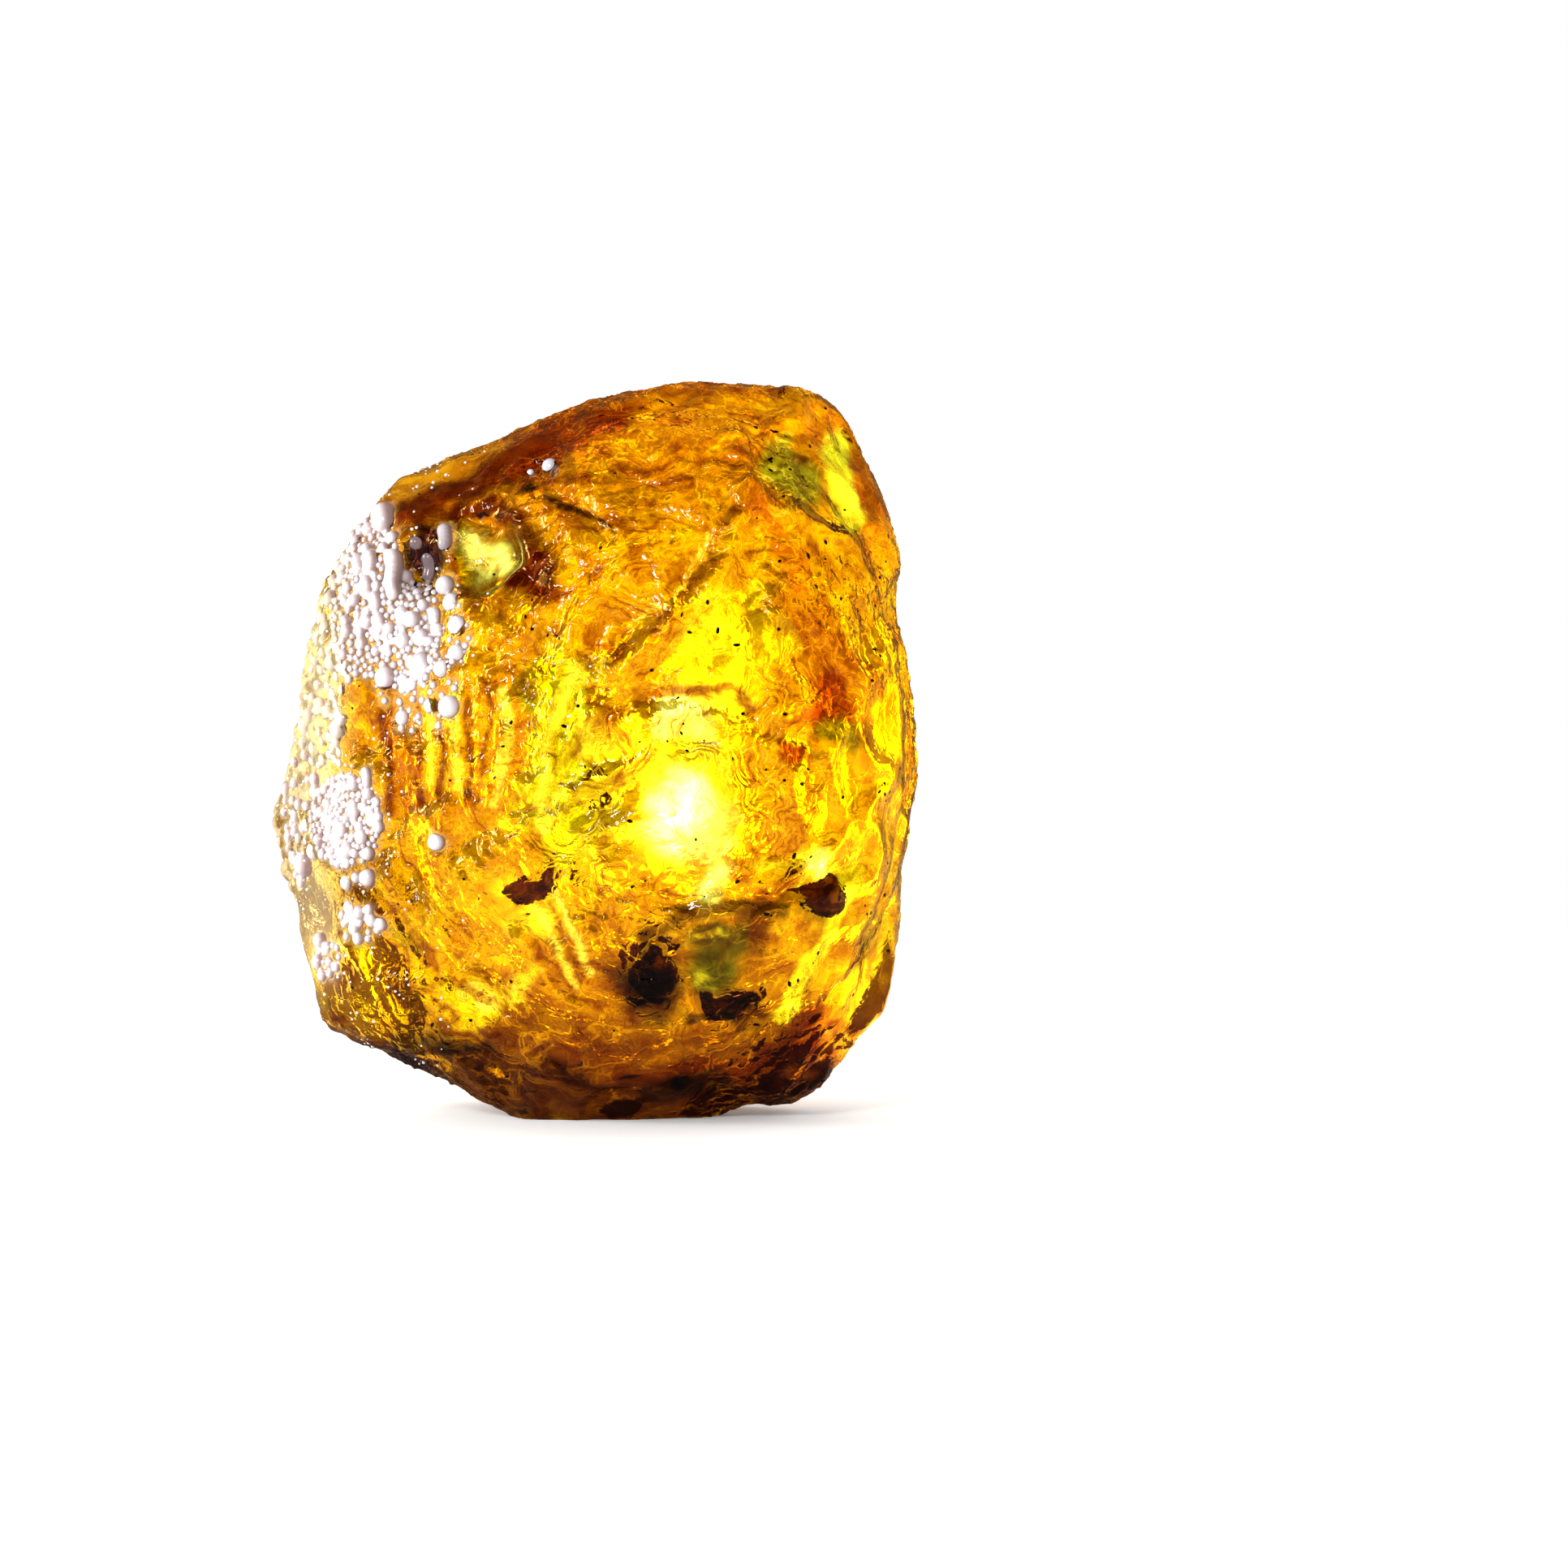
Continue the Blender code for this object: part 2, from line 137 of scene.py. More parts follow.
def with_modifiers_applied(obj):
    bpy.context.view_layer.update()
    graph = bpy.context.evaluated_depsgraph_get()
    baked = bpy.data.meshes.new_from_object(obj.evaluated_get(graph))
    obj.modifiers.clear()
    obj.data = baked
    return obj


def unit_ball(name, subdivisions):
    shell = bmesh.new()
    bmesh.ops.create_icosphere(shell, subdivisions=subdivisions, radius=1.0 * MM)
    mesh = bpy.data.meshes.new(name)
    shell.to_mesh(mesh)
    shell.free()
    return mesh


def add_node(tree, kind, inputs=None, **settings):
    """Adds a node. A socket given as an input is linked, and any other value is set."""
    node = tree.nodes.new(kind)
    for name, value in settings.items():
        setattr(node, name, value)
    for key, value in (inputs or {}).items():
        if isinstance(value, bpy.types.NodeSocket):
            tree.links.new(value, node.inputs[key])
        else:
            node.inputs[key].default_value = value
    return node


def new_tree(name, inputs):
    """A Geometry Nodes tree with geometry in and out, and its other inputs by name and kind."""
    tree = bpy.data.node_groups.new(name, "GeometryNodeTree")
    tree.interface.new_socket("Geometry", in_out="INPUT", socket_type="NodeSocketGeometry")
    tree.interface.new_socket("Geometry", in_out="OUTPUT", socket_type="NodeSocketGeometry")
    for label, kind in inputs.items():
        tree.interface.new_socket(label, in_out="INPUT", socket_type=kind)
    return tree, tree.nodes.new("NodeGroupInput"), tree.nodes.new("NodeGroupOutput")


def math_node(tree, operation, *values):
    return add_node(tree, "ShaderNodeMath", dict(enumerate(values)), operation=operation).outputs[0]


def vector_node(tree, operation, **values):
    keys = {"a": 0, "b": 1, "c": 2, "scale": "Scale"}
    inputs = {keys[key]: value for key, value in values.items()}
    node = add_node(tree, "ShaderNodeVectorMath", inputs, operation=operation)
    return node.outputs["Value" if operation in ("LENGTH", "DISTANCE", "DOT_PRODUCT") else "Vector"]


def apply_tree(obj, tree, values):
    """Runs the tree on the object, with its inputs set by their identifiers."""
    modifier = obj.modifiers.new(tree.name, "NODES")
    modifier.node_group = tree
    for socket in tree.interface.items_tree:
        if socket.in_out == "INPUT" and socket.name in values:
            modifier[socket.identifier] = values[socket.name]
    return with_modifiers_applied(obj)


def linear(code, alpha=1.0):
    """An sRGB hex colour as linear light."""
    channels = [int(code[i : i + 2], 16) / 255 for i in (1, 3, 5)]
    return (*(c / 12.92 if c <= 0.04045 else ((c + 0.055) / 1.055) ** 2.4 for c in channels), alpha)


def new_material(name):
    material = bpy.data.materials.new(name)
    material.use_nodes = True
    tree = material.node_tree
    return material, tree, tree.nodes["Principled BSDF"]


MIX_A, MIX_B, MIX_RESULT = 6, 7, 2


def mix_colour(tree, share, under, over):
    inputs = {0: share, MIX_A: under, MIX_B: over}
    return add_node(tree, "ShaderNodeMix", inputs, data_type="RGBA").outputs[MIX_RESULT]


def store_attribute(mesh, name, values):
    """Numbers, vectors or colours, one for each point, by how long each row is."""
    values = np.asarray(values, np.float32)
    kinds = {1: ("FLOAT", "value"), 3: ("FLOAT_VECTOR", "vector"), 4: ("FLOAT_COLOR", "color")}
    kind, field = kinds[1 if values.ndim == 1 else values.shape[1]]
    layer = mesh.attributes.get(name) or mesh.attributes.new(name, kind, "POINT")
    layer.data.foreach_set(field, values.ravel())


def smooth_step(low, high, values):
    share = np.clip((values - low) / (high - low), 0, 1)
    return share * share * (3 - 2 * share)


# %% [markdown]
# ## The body of the lump
#
# A lump like this could be sculpted, but its form follows a rule: each run of resin is
# a pillow with an outline of its own. A fine ball is pushed out to that outline, and its
# depth falls off towards the rim by a superellipse, squarer behind, where the resin lay
# against the tree. The older body is then pressed flat where it broke. Fusing the two by
# a voxel remesh leaves the crease between them.

# %% Two runs of resin
LUMP_CENTRE = (0.6, 1.0, 24.3)
LUMP_FRONT, LUMP_BACK = 10.6, 14.2
LUMP_SQUARENESS = (2.5, 4.2)
LUMP_OUTLINE = [
    (21.4, 22.6), (21.0, 28.0), (20.1, 33.2), (19.9, 34.9), (20.4, 37.1), (19.4, 40.7),
    (17.9, 44.0), (16.4, 47.1), (14.7, 48.4), (9.0, 48.9), (3.6, 48.7), (-1.9, 47.1),
    (-7.3, 44.7), (-13.3, 42.6), (-14.8, 40.5), (-16.8, 37.9), (-18.2, 35.1), (-19.1, 31.3),
    (-19.5, 27.5), (-20.2, 24.2), (-21.3, 20.7), (-21.4, 18.3), (-20.5, 15.5), (-19.9, 13.1),
    (-19.4, 9.8), (-18.1, 6.0), (-13.8, 4.1), (-9.5, 2.1), (-5.9, 0.2), (-4.6, -1.5),
    (6.6, -1.5), (8.6, 0.2), (10.4, 0.7), (13.9, 1.0), (15.8, 2.6), (17.1, 4.8),
    (19.3, 6.7), (19.9, 9.0), (20.1, 11.7), (20.4, 14.2), (20.3, 16.4), (21.1, 20.7),
]
LENS_CENTRE = (3.4, -3.0, 25.0)
LENS_FRONT, LENS_BACK = 11.6, 3.0
LENS_SQUARENESS = (2.25, 2.25)
LENS_OUTLINE = [
    (20.6, 25.3), (20.2, 19.9), (18.8, 14.5), (16.6, 10.1), (13.6, 6.3), (9.0, 3.6),
    (3.6, 2.9), (-1.9, 4.1), (-6.2, 6.8), (-10.0, 10.4), (-12.7, 15.0), (-13.7, 21.0),
    (-13.8, 26.4), (-12.5, 31.8), (-9.5, 36.7), (-7.3, 40.3), (-4.0, 43.5), (0.3, 45.9),
    (5.2, 47.0), (10.6, 46.3), (13.9, 43.8), (17.1, 39.5), (19.1, 34.0), (20.3, 29.7),
]
BROKEN_FACES = [
    ((-0.80, -0.60, 0.00), 17.6),
    ((-0.42, -0.50, 0.76), 20.4),
    ((0.74, -0.46, 0.49), 23.0),
    ((0.86, -0.48, -0.20), 19.8),
    ((0.06, -0.64, -0.77), 21.5),
    ((0.02, 0.99, 0.06), 12.9),
    ((-0.66, 0.70, -0.28), 20.4),
    ((0.64, 0.66, 0.39), 23.6),
    ((0.30, 0.62, -0.72), 23.0),
    ((-0.40, 0.66, 0.64), 23.4),
    ((0.82, 0.50, -0.28), 22.0),
]
FLOW_SUBDIVISIONS = 6
FUSE_VOXEL = 0.42


def outline_radius(outline, centre, angles):
    corners = np.array(outline) - (centre[ACROSS], centre[UP])
    corner_angles = np.arctan2(corners[:, 1], corners[:, 0])
    corner_radii = np.hypot(corners[:, 0], corners[:, 1])
    return np.interp(angles, corner_angles, corner_radii, period=math.tau)


def flow_points(directions, outline, centre, front, back, squareness):
    sideways = np.hypot(directions[:, ACROSS], directions[:, UP])
    along = np.abs(directions[:, DEEP])
    power = np.where(directions[:, DEEP] < 0, *squareness)
    reach = (sideways**power + along**power) ** (-1 / power)
    angles = np.arctan2(directions[:, UP], directions[:, ACROSS])
    radius = outline_radius(outline, centre, angles) * sideways * reach
    depth = np.where(directions[:, DEEP] < 0, -front, back) * along * reach
    return np.stack([radius * np.cos(angles), depth, radius * np.sin(angles)], axis=1) + centre


def press_flat(points, faces):
    for direction, distance in faces:
        normal = np.array(direction) / np.linalg.norm(direction)
        past = (points - LUMP_CENTRE) @ normal - distance
        points = points - np.outer(np.clip(past, 0, None), normal)
    return points


def flow_mesh(name, outline, centre, front, back, squareness, faces=()):
    mesh = unit_ball(name, FLOW_SUBDIVISIONS)
    points = flow_points(read_points(mesh), outline, centre, front, back, squareness)
    set_points(mesh, press_flat(points, faces))
    return mesh


def fuse(obj, voxel):
    remesh = obj.modifiers.new("fuse", "REMESH")
    remesh.mode = "VOXEL"
    remesh.voxel_size = voxel * MM
    return with_modifiers_applied(obj)


lump = flow_mesh("lump", LUMP_OUTLINE, LUMP_CENTRE, LUMP_FRONT, LUMP_BACK, LUMP_SQUARENESS, BROKEN_FACES)
lens = flow_mesh("lens", LENS_OUTLINE, LENS_CENTRE, LENS_FRONT, LENS_BACK, LENS_SQUARENESS)
both = bmesh.new()
both.from_mesh(lump)
both.from_mesh(lens)
both.to_mesh(lump)
both.free()
amber = fuse(new_object("amber", lump), FUSE_VOXEL)
print("fused body:", len(amber.data.vertices), "points")

# %% [markdown]
# ## Folds, drips and hollows
#
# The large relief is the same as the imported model's: folds run where the skin of the last
# run wrinkled as it set, drips stand side by side left of the middle, and a few hollows
# were pressed in. Each fold is a short line of points, and the skin rises by a bell curve
# of the distance to it.

# %% Large relief
FOLDS = [
    ([(9.6, 44.9), (10.3, 41.6), (9.8, 39.5), (8.7, 36.7), (6.8, 34.3), (2.2, 29.9)], 0.75, 0.75),
    ([(10.3, 41.6), (12.3, 40.0), (15.0, 39.2), (17.1, 38.1), (19.0, 35.1)], 0.60, 0.70),
    ([(3.0, 28.0), (6.3, 28.3), (10.1, 27.5), (11.6, 26.0)], -0.50, 0.70),
    ([(-1.9, 28.6), (-2.4, 26.4), (-3.5, 22.0), (-3.8, 19.3), (-3.4, 17.2)], 0.50, 0.55),
    ([(1.4, 28.0), (-1.3, 25.3), (-3.0, 22.0)], 0.40, 0.50),
    ([(-13.3, 16.6), (-9.5, 12.8), (-5.1, 9.6), (-1.9, 8.2)], 0.60, 0.70),
    ([(-4.6, 12.8), (-2.4, 9.0), (0.3, 7.7)], 0.55, 0.60),
    ([(14.4, 8.5), (17.1, 11.7), (19.3, 15.5), (20.4, 19.9)], 0.60, 0.70),
    ([(-9.5, 40.3), (-6.2, 39.5), (-4.6, 36.7), (-3.2, 35.4)], -0.70, 0.70),
    ([(-2.4, 41.6), (-0.8, 40.8), (1.4, 38.4)], -0.60, 0.45),
    ([(3.6, 14.4), (8.2, 15.8), (12.0, 15.2), (16.0, 16.6)], -0.45, 0.60),
    ([(4.0, 12.0), (7.0, 9.4), (7.4, 6.8), (12.0, 6.6)], -0.50, 0.55),
]
DRIP_LEFT, DRIP_STEP, DRIP_COUNT = -9.9, 1.05, 6
DRIP_TOP, DRIP_MIDDLE, DRIP_BOTTOM = 31.0, 25.0, 19.0
DRIP_FALL, DRIP_LEAN = 0.6, 0.5
DRIP_HEIGHT, DRIP_HALF_WIDTH = 0.45, 0.32
CRUMPLE_SIZE = 4.2
CRUMPLE_WARP = 2.4
CRUMPLE_FRONT, CRUMPLE_BEHIND = 1.20, 0.45
PITS = [
    ((-7.1, -9.5, 37.2), 2.3, 1.9),
    ((-11.8, -7.0, 36.6), 1.7, 1.4),
    ((11.8, -13.0, 43.2), 2.0, 1.2),
    ((9.0, 14.5, 34.0), 4.6, 0.9),
    ((-9.0, 14.0, 20.0), 5.4, 1.1),
    ((6.5, 14.0, 11.0), 3.8, 0.8),
    ((19.5, 7.0, 26.0), 4.2, 1.2),
    ((-4.0, 9.0, 45.5), 3.4, 1.1),
]


# Clean windows, where the skin set smooth: middle, radius and how smooth.
CLEAR_WINDOWS = [
    ((6.0, -13.6, 20.4), 5.0, 1.0),
    ((9.0, -13.4, 30.6), 4.6, 0.6),
    ((-6.4, -9.8, 37.4), 4.0, 1.0),
    ((-4.2, -11.6, 14.8), 3.4, 0.8),
    ((8.0, -12.4, 10.2), 4.2, 0.7),
    ((14.6, -10.6, 14.6), 3.0, 0.7),
    ((3.5, 14.5, 21.5), 9.0, 1.0),
    ((6.0, 14.0, 31.0), 8.0, 0.8),
]


def distance_to_path(points, path):
    nearest = np.full(len(points), np.inf)
    for start, end in zip(path[:-1], path[1:]):
        start, way = np.array(start), np.array(end) - np.array(start)
        share = np.clip((points - start) @ way / (way @ way), 0, 1)
        gap = points - start - share[:, None] * way
        nearest = np.minimum(nearest, np.hypot(gap[:, 0], gap[:, 1]))
    return nearest


def drips():
    for i in range(DRIP_COUNT):
        x, fall = DRIP_LEFT + i * DRIP_STEP, i * DRIP_FALL
        lean = DRIP_LEAN * math.sin(2.1 * i)
        path = [(x, DRIP_TOP - fall), (x + lean, DRIP_MIDDLE), (x - lean, DRIP_BOTTOM + fall)]
        yield path, DRIP_HEIGHT, DRIP_HALF_WIDTH


def crumple(points):
    depths = []
    for point in points:
        warp = CRUMPLE_WARP * noise.noise(Vector(point) / (1.7 * CRUMPLE_SIZE))
        moved = Vector(point) + Vector((warp, 0, -warp))
        depths.append(abs(noise.noise(moved / CRUMPLE_SIZE)))
    return -np.array(depths)


def clear_share(points):
    """How smooth the skin is: 1 in the middle of the cleanest windows, and 0 outside them all."""
    share = np.zeros(len(points))
    for middle, radius, smoothness in CLEAR_WINDOWS:
        reach = np.linalg.norm(points - middle, axis=1) / radius
        share = np.maximum(share, smoothness * (1 - smooth_step(0.55, 1.0, reach)))
    return share


def relief(points, normals):
    facing = np.clip(-1.6 * normals[:, DEEP], 0, 1)
    raised = crumple(points) * (CRUMPLE_BEHIND + (CRUMPLE_FRONT - CRUMPLE_BEHIND) * facing)
    raised *= 1 - 0.85 * clear_share(points)
    for path, height, half_width in [*FOLDS, *drips()]:
        gap = distance_to_path(points[:, [ACROSS, UP]], path)
        raised += facing * height * np.exp(-((gap / half_width) ** 2))
    for centre, radius, depth in PITS:
        gap = np.linalg.norm(points - centre, axis=1)
        raised -= depth * np.exp(-((gap / radius) ** 4))
    return raised


points, normals = read_points(amber.data), read_normals(amber.data)
set_points(amber.data, points + relief(points, normals)[:, None] * normals)
print("large relief done")

# %% [markdown]
# ## The crust of knobs
#
# On the flank the resin dried in round knobs, most of them 1 to 1.5 mm across. The largest
# are placed one by one, from the picture of the real crust, and smaller ones fill the fields
# round them. A ray from the front finds the skin for each, so that every knob sits on it.
# Some have run downwards into short fingers, which are two or three knobs in a row.

# %% Knobs
FAR = 60.0
FRONTWARDS, FROM_LEFT, FROM_BACK_LEFT = (0.0, 1.0, 0.0), (1.0, 0.0, 0.0), (0.7, -0.7, 0.0)
# The knobs that stand out: (x, z) in millimetres, radius, and the length of the finger.
KNOBS = [
    ((-13.9, 40.1), 0.95, 0.5), ((-15.2, 40.5), 0.55, 0.0), ((-2.7, 43.2), 0.62, 0.0), ((-4.0, 42.8), 0.30, 0.0),
    ((-9.5, 35.4), 0.72, 0.0), ((-9.0, 34.3), 0.70, 0.0), ((-8.5, 32.8), 0.72, 0.0), ((-8.5, 31.0), 0.66, 0.0),
    ((-9.4, 30.0), 0.66, 0.0), ((-10.9, 30.3), 0.76, 0.4), ((-13.4, 29.4), 0.80, 0.0), ((-12.2, 26.8), 0.58, 0.0),
    ((-10.2, 27.6), 0.58, 0.0), ((-8.9, 27.6), 0.80, 0.0), ((-13.0, 37.2), 0.72, 2.2), ((-11.5, 38.2), 0.50, 0.0),
    ((-10.7, 37.2), 0.58, 1.2), ((-9.6, 39.0), 0.55, 0.9), ((-15.4, 37.0), 0.62, 0.6), ((-14.6, 37.3), 0.60, 1.0),
    ((-14.8, 35.6), 0.56, 0.6), ((-15.6, 34.5), 0.50, 0.0), ((-14.2, 34.6), 0.54, 0.5), ((-12.3, 33.6), 0.60, 0.5),
    ((-11.6, 33.2), 0.62, 0.0), ((-11.0, 32.0), 0.64, 0.0), ((-12.2, 31.8), 0.62, 0.0), ((-13.9, 33.2), 0.54, 0.5),
    ((-15.1, 31.6), 0.50, 0.0), ((-16.2, 33.1), 0.46, 0.0), ((-10.2, 33.6), 0.50, 0.4), ((-9.9, 32.5), 0.50, 0.0),
    ((-15.6, 22.6), 0.50, 0.3), ((-16.8, 21.4), 0.52, 0.0), ((-15.6, 21.0), 0.50, 0.4), ((-14.4, 20.6), 0.48, 0.6),
    ((-17.6, 20.0), 0.52, 0.0), ((-16.4, 19.4), 0.54, 0.0), ((-15.0, 19.0), 0.56, 0.0), ((-18.2, 18.6), 0.50, 0.0),
    ((-16.0, 18.1), 0.62, 0.0), ((-14.6, 17.9), 0.54, 0.0), ((-17.2, 17.8), 0.52, 0.0), ((-19.4, 16.9), 0.92, 0.0),
    ((-16.1, 15.9), 0.58, 0.0), ((-15.4, 16.3), 0.40, 0.0), ((-14.6, 16.3), 0.64, 0.0), ((-16.0, 13.6), 0.46, 0.0),
    ((-15.2, 14.0), 0.52, 0.0), ((-14.4, 13.5), 0.50, 0.0), ((-18.2, 11.9), 0.60, 0.0), ((-17.4, 9.8), 0.36, 0.0),
    ((-9.8, 18.8), 0.62, 0.0), ((-14.7, 23.2), 0.42, 0.6), ((-18.6, 22.6), 0.52, 0.0), ((-17.8, 22.0), 0.46, 0.0),
]
# Fields of smaller knobs: the way they are seen, middle, half sizes, count, radii, how sunk.
KNOB_FIELDS = [
    (FRONTWARDS, (-12.0, 0.0, 32.4), (2.4, 3.8), 110, 0.24, 0.62, 0.10),
    (FRONTWARDS, (-14.8, 0.0, 34.6), (2.6, 5.2), 130, 0.22, 0.62, 0.10),
    (FRONTWARDS, (-16.3, 0.0, 20.0), (2.6, 3.0), 150, 0.22, 0.50, 0.10),
    (FRONTWARDS, (-18.0, 0.0, 29.0), (2.0, 6.8), 60, 0.36, 0.80, 0.55),
    (FRONTWARDS, (-19.8, 0.0, 20.4), (1.2, 5.0), 26, 0.36, 0.74, 0.50),
    (FRONTWARDS, (-15.2, 0.0, 13.3), (1.5, 1.2), 14, 0.26, 0.56, 0.2),
    (FRONTWARDS, (-17.6, 0.0, 11.0), (1.2, 1.6), 10, 0.26, 0.56, 0.2),
    (FRONTWARDS, (-11.0, 0.0, 31.0), (3.4, 5.4), 50, 0.14, 0.30, 0.1),
]
# No small knobs grow in these hollows: middle (x, z) and half sizes.
CLEARINGS = [((-10.7, 37.9), (1.7, 2.4)), ((-7.0, 37.5), (2.4, 2.6))]
FLANK_FIELDS = [
    (FRONTWARDS, (-19.0, 0.0, 27.4), (2.2, 7.0), 110, 0.24, 0.60, 0.2),
    (FROM_LEFT, (0.0, 2.0, 25.0), (5.4, 10.6), 150, 0.34, 0.95, 0.2),
    (FROM_BACK_LEFT, (-16.0, 9.0, 26.0), (3.0, 7.0), 36, 0.34, 0.90, 0.2),
]
KNOB_SPACING = 0.74
KNOB_SUNK = 0.12
KNOB_TRIES = 60
KNOB_SEED = 11
FINGER_STEP = 0.40


class KnobPlacer:
    """Finds where rays meet the skin, and keeps the knobs there apart."""

    def __init__(self, skin):
        corners = [vertex.co for vertex in skin.vertices]
        self.tree = BVHTree.FromPolygons(corners, [face.vertices for face in skin.polygons])
        self.placed = []

    def place(self, start, way, radius, spacing, sunk):
        spot, normal, _, _ = self.tree.ray_cast(Vector(start) * MM, Vector(way))
        if spot is None:
            return False
        middle = spot / MM - normal * radius * sunk
        if spacing and any((middle - at).length < spacing * (radius + size) for at, size in self.placed):
            return False
        self.placed.append((middle, radius))
        return True


def fill_field(placer, field, chance):
    way, middle, (half_side, half_up), count, smallest, largest, sunk = field
    sideways = Vector(way).cross(Vector((0, 0, 1))).normalized()
    found = 0
    for _ in range(KNOB_TRIES * count):
        if found == count:
            break
        turn, reach = chance.uniform(0, math.tau), math.sqrt(chance.random())
        radius = smallest + (largest - smallest) * chance.random() ** 1.6
        spot = Vector(middle) + sideways * (half_side * reach * math.cos(turn))
        spot.z += half_up * reach * math.sin(turn)
        if any(math.hypot((spot.x - x) / wide, (spot.z - z) / high) < 1 for (x, z), (wide, high) in CLEARINGS):
            continue
        found += placer.place(spot - Vector(way) * FAR, way, radius, KNOB_SPACING, sunk)


placer = KnobPlacer(amber.data)
chance = random.Random(KNOB_SEED)
for (x, z), radius, length in KNOBS:
    for i in range(1 + round(length / (FINGER_STEP * radius))):
        drop = i * FINGER_STEP * radius
        at = (x + 0.08 * math.sin(3 * drop), -FAR, z - drop)
        placer.place(at, FRONTWARDS, radius * (0.98 - 0.03 * i), 0, KNOB_SUNK)
for field in KNOB_FIELDS:
    fill_field(placer, field, chance)
pearly = len(placer.placed)
for field in FLANK_FIELDS:
    fill_field(placer, field, chance)
pearls, knobs = placer.placed[:pearly], placer.placed[pearly:]


def balls_tree():
    """A round ball on every point, as large as the point's radius says."""
    tree, given, result = new_tree("balls on points", {"Subdivisions": "NodeSocketInt"})
    ball = add_node(tree, "GeometryNodeMeshIcoSphere", {"Radius": 1.0, "Subdivisions": given.outputs["Subdivisions"]})
    radius = add_node(tree, "GeometryNodeInputNamedAttribute", {"Name": "radius"}).outputs[0]
    inputs = {"Points": given.outputs[0], "Instance": ball.outputs[0], "Scale": radius}
    balls = add_node(tree, "GeometryNodeInstanceOnPoints", inputs)
    real = add_node(tree, "GeometryNodeRealizeInstances", {0: balls.outputs[0]})
    tree.links.new(real.outputs[0], result.inputs[0])
    return tree


def balls_at(name, places, subdivisions):
    mesh = bpy.data.meshes.new(name)
    mesh.from_pydata([middle * MM for middle, _ in places], [], [])
    store_attribute(mesh, "radius", [radius * MM for _, radius in places])
    return apply_tree(new_object(name, mesh), balls_tree(), {"Subdivisions": subdivisions})


balls = balls_at("knobs", knobs, 4)
shell = bmesh.new()
shell.from_mesh(amber.data)
shell.from_mesh(balls.data)
shell.to_mesh(amber.data)
shell.free()
bpy.data.objects.remove(balls)
SKIN_VOXEL = 0.20
fuse(amber, SKIN_VOXEL)
print(len(pearls), "pearly knobs,", len(knobs), "fused ones, skin:", count_triangles(amber.data), "triangles")

# %% [markdown]
# ## What lies where on the skin
#
# The fine crinkles and the colours need to know where the crust is and which faces are
# fresh breaks. Both are worked out from the knobs and the broken faces, and stored on the
# points of the mesh as attributes, which Geometry Nodes and the shader can read.

# %% Attributes for the crust and the broken faces
MILK_REACH = 0.35
# The pocket beside the bowl, where pearls and skin are painted dark as shade: middle (x, z) and half sizes.
SHADED_POCKET, SHADED_POCKET_SIZE = (-10.9, 37.4), (1.9, 3.0)
# Where the skin is hazy: middle (x, z), half sizes, strength.
HAZES = [((-20.0, 28.0), (4.2, 10.0), 0.75), ((-19.6, 13.4), (3.4, 6.5), 0.60)]


def tree_of(places):
    tree = KDTree(len(places))
    for i, (middle, _) in enumerate(places):
        tree.insert(middle, i)
    tree.balance()
    return tree


def crust_share(points):
    """1 on the top of a fused knob, 0 in the gaps between them and off them."""
    tree = tree_of(knobs)
    share = np.zeros(len(points))
    for i in np.nonzero(points[:, ACROSS] < -1.0)[0]:
        for _, j, distance in tree.find_range(points[i], 1.2):
            middle, radius = knobs[j]
            if abs(distance - radius) < 0.2:
                out = Vector((-0.85, middle.y / 16, 0)).normalized()
                share[i] = max(share[i], (Vector(points[i]) - middle).dot(out) / radius)
    return smooth_step(0.0, 0.7, share)


def milky_share(points):
    """1 under the pearly knobs, where the skin has gone milky too, and 0 away from them."""
    tree = tree_of(pearls)
    share = np.zeros(len(points))
    for i in np.nonzero(points[:, ACROSS] < -5.0)[0]:
        _, nearest, distance = tree.find(points[i])
        share[i] = pearls[nearest][1] + MILK_REACH - distance
    # No milk in the pocket beside the bowl, so that it stays dark there as painted shade.
    off = (points[:, [ACROSS, UP]] - SHADED_POCKET) / SHADED_POCKET_SIZE
    return smooth_step(0.0, MILK_REACH, share) * smooth_step(0.7, 1.1, np.hypot(*off.T))


def haze_share(points):
    """How milky the skin is round the outside of the flank."""
    share = np.zeros(len(points))
    for middle, half_sizes, strength in HAZES:
        off = (points[:, [ACROSS, UP]] - middle) / half_sizes
        share = np.maximum(share, strength * smooth_step(1.2, 0.5, np.hypot(*off.T)))
    return share


def broken_share(points):
    """1 on a broken face, falling to 0 half a millimetre inside it."""
    share = np.zeros(len(points))
    for direction, distance in BROKEN_FACES[1:]:
        normal = np.array(direction) / np.linalg.norm(direction)
        under = distance - (points - LUMP_CENTRE) @ normal
        share = np.maximum(share, 1 - smooth_step(0.45, 1.1, under))
    return share


points = read_points(amber.data)
crust = np.maximum.reduce([crust_share(points), 0.9 * milky_share(points), haze_share(points)])
store_attribute(amber.data, "crust", crust)
smooth = np.maximum(0.8 * broken_share(points), clear_share(points))
store_attribute(amber.data, "smooth", smooth)
print("attributes stored")
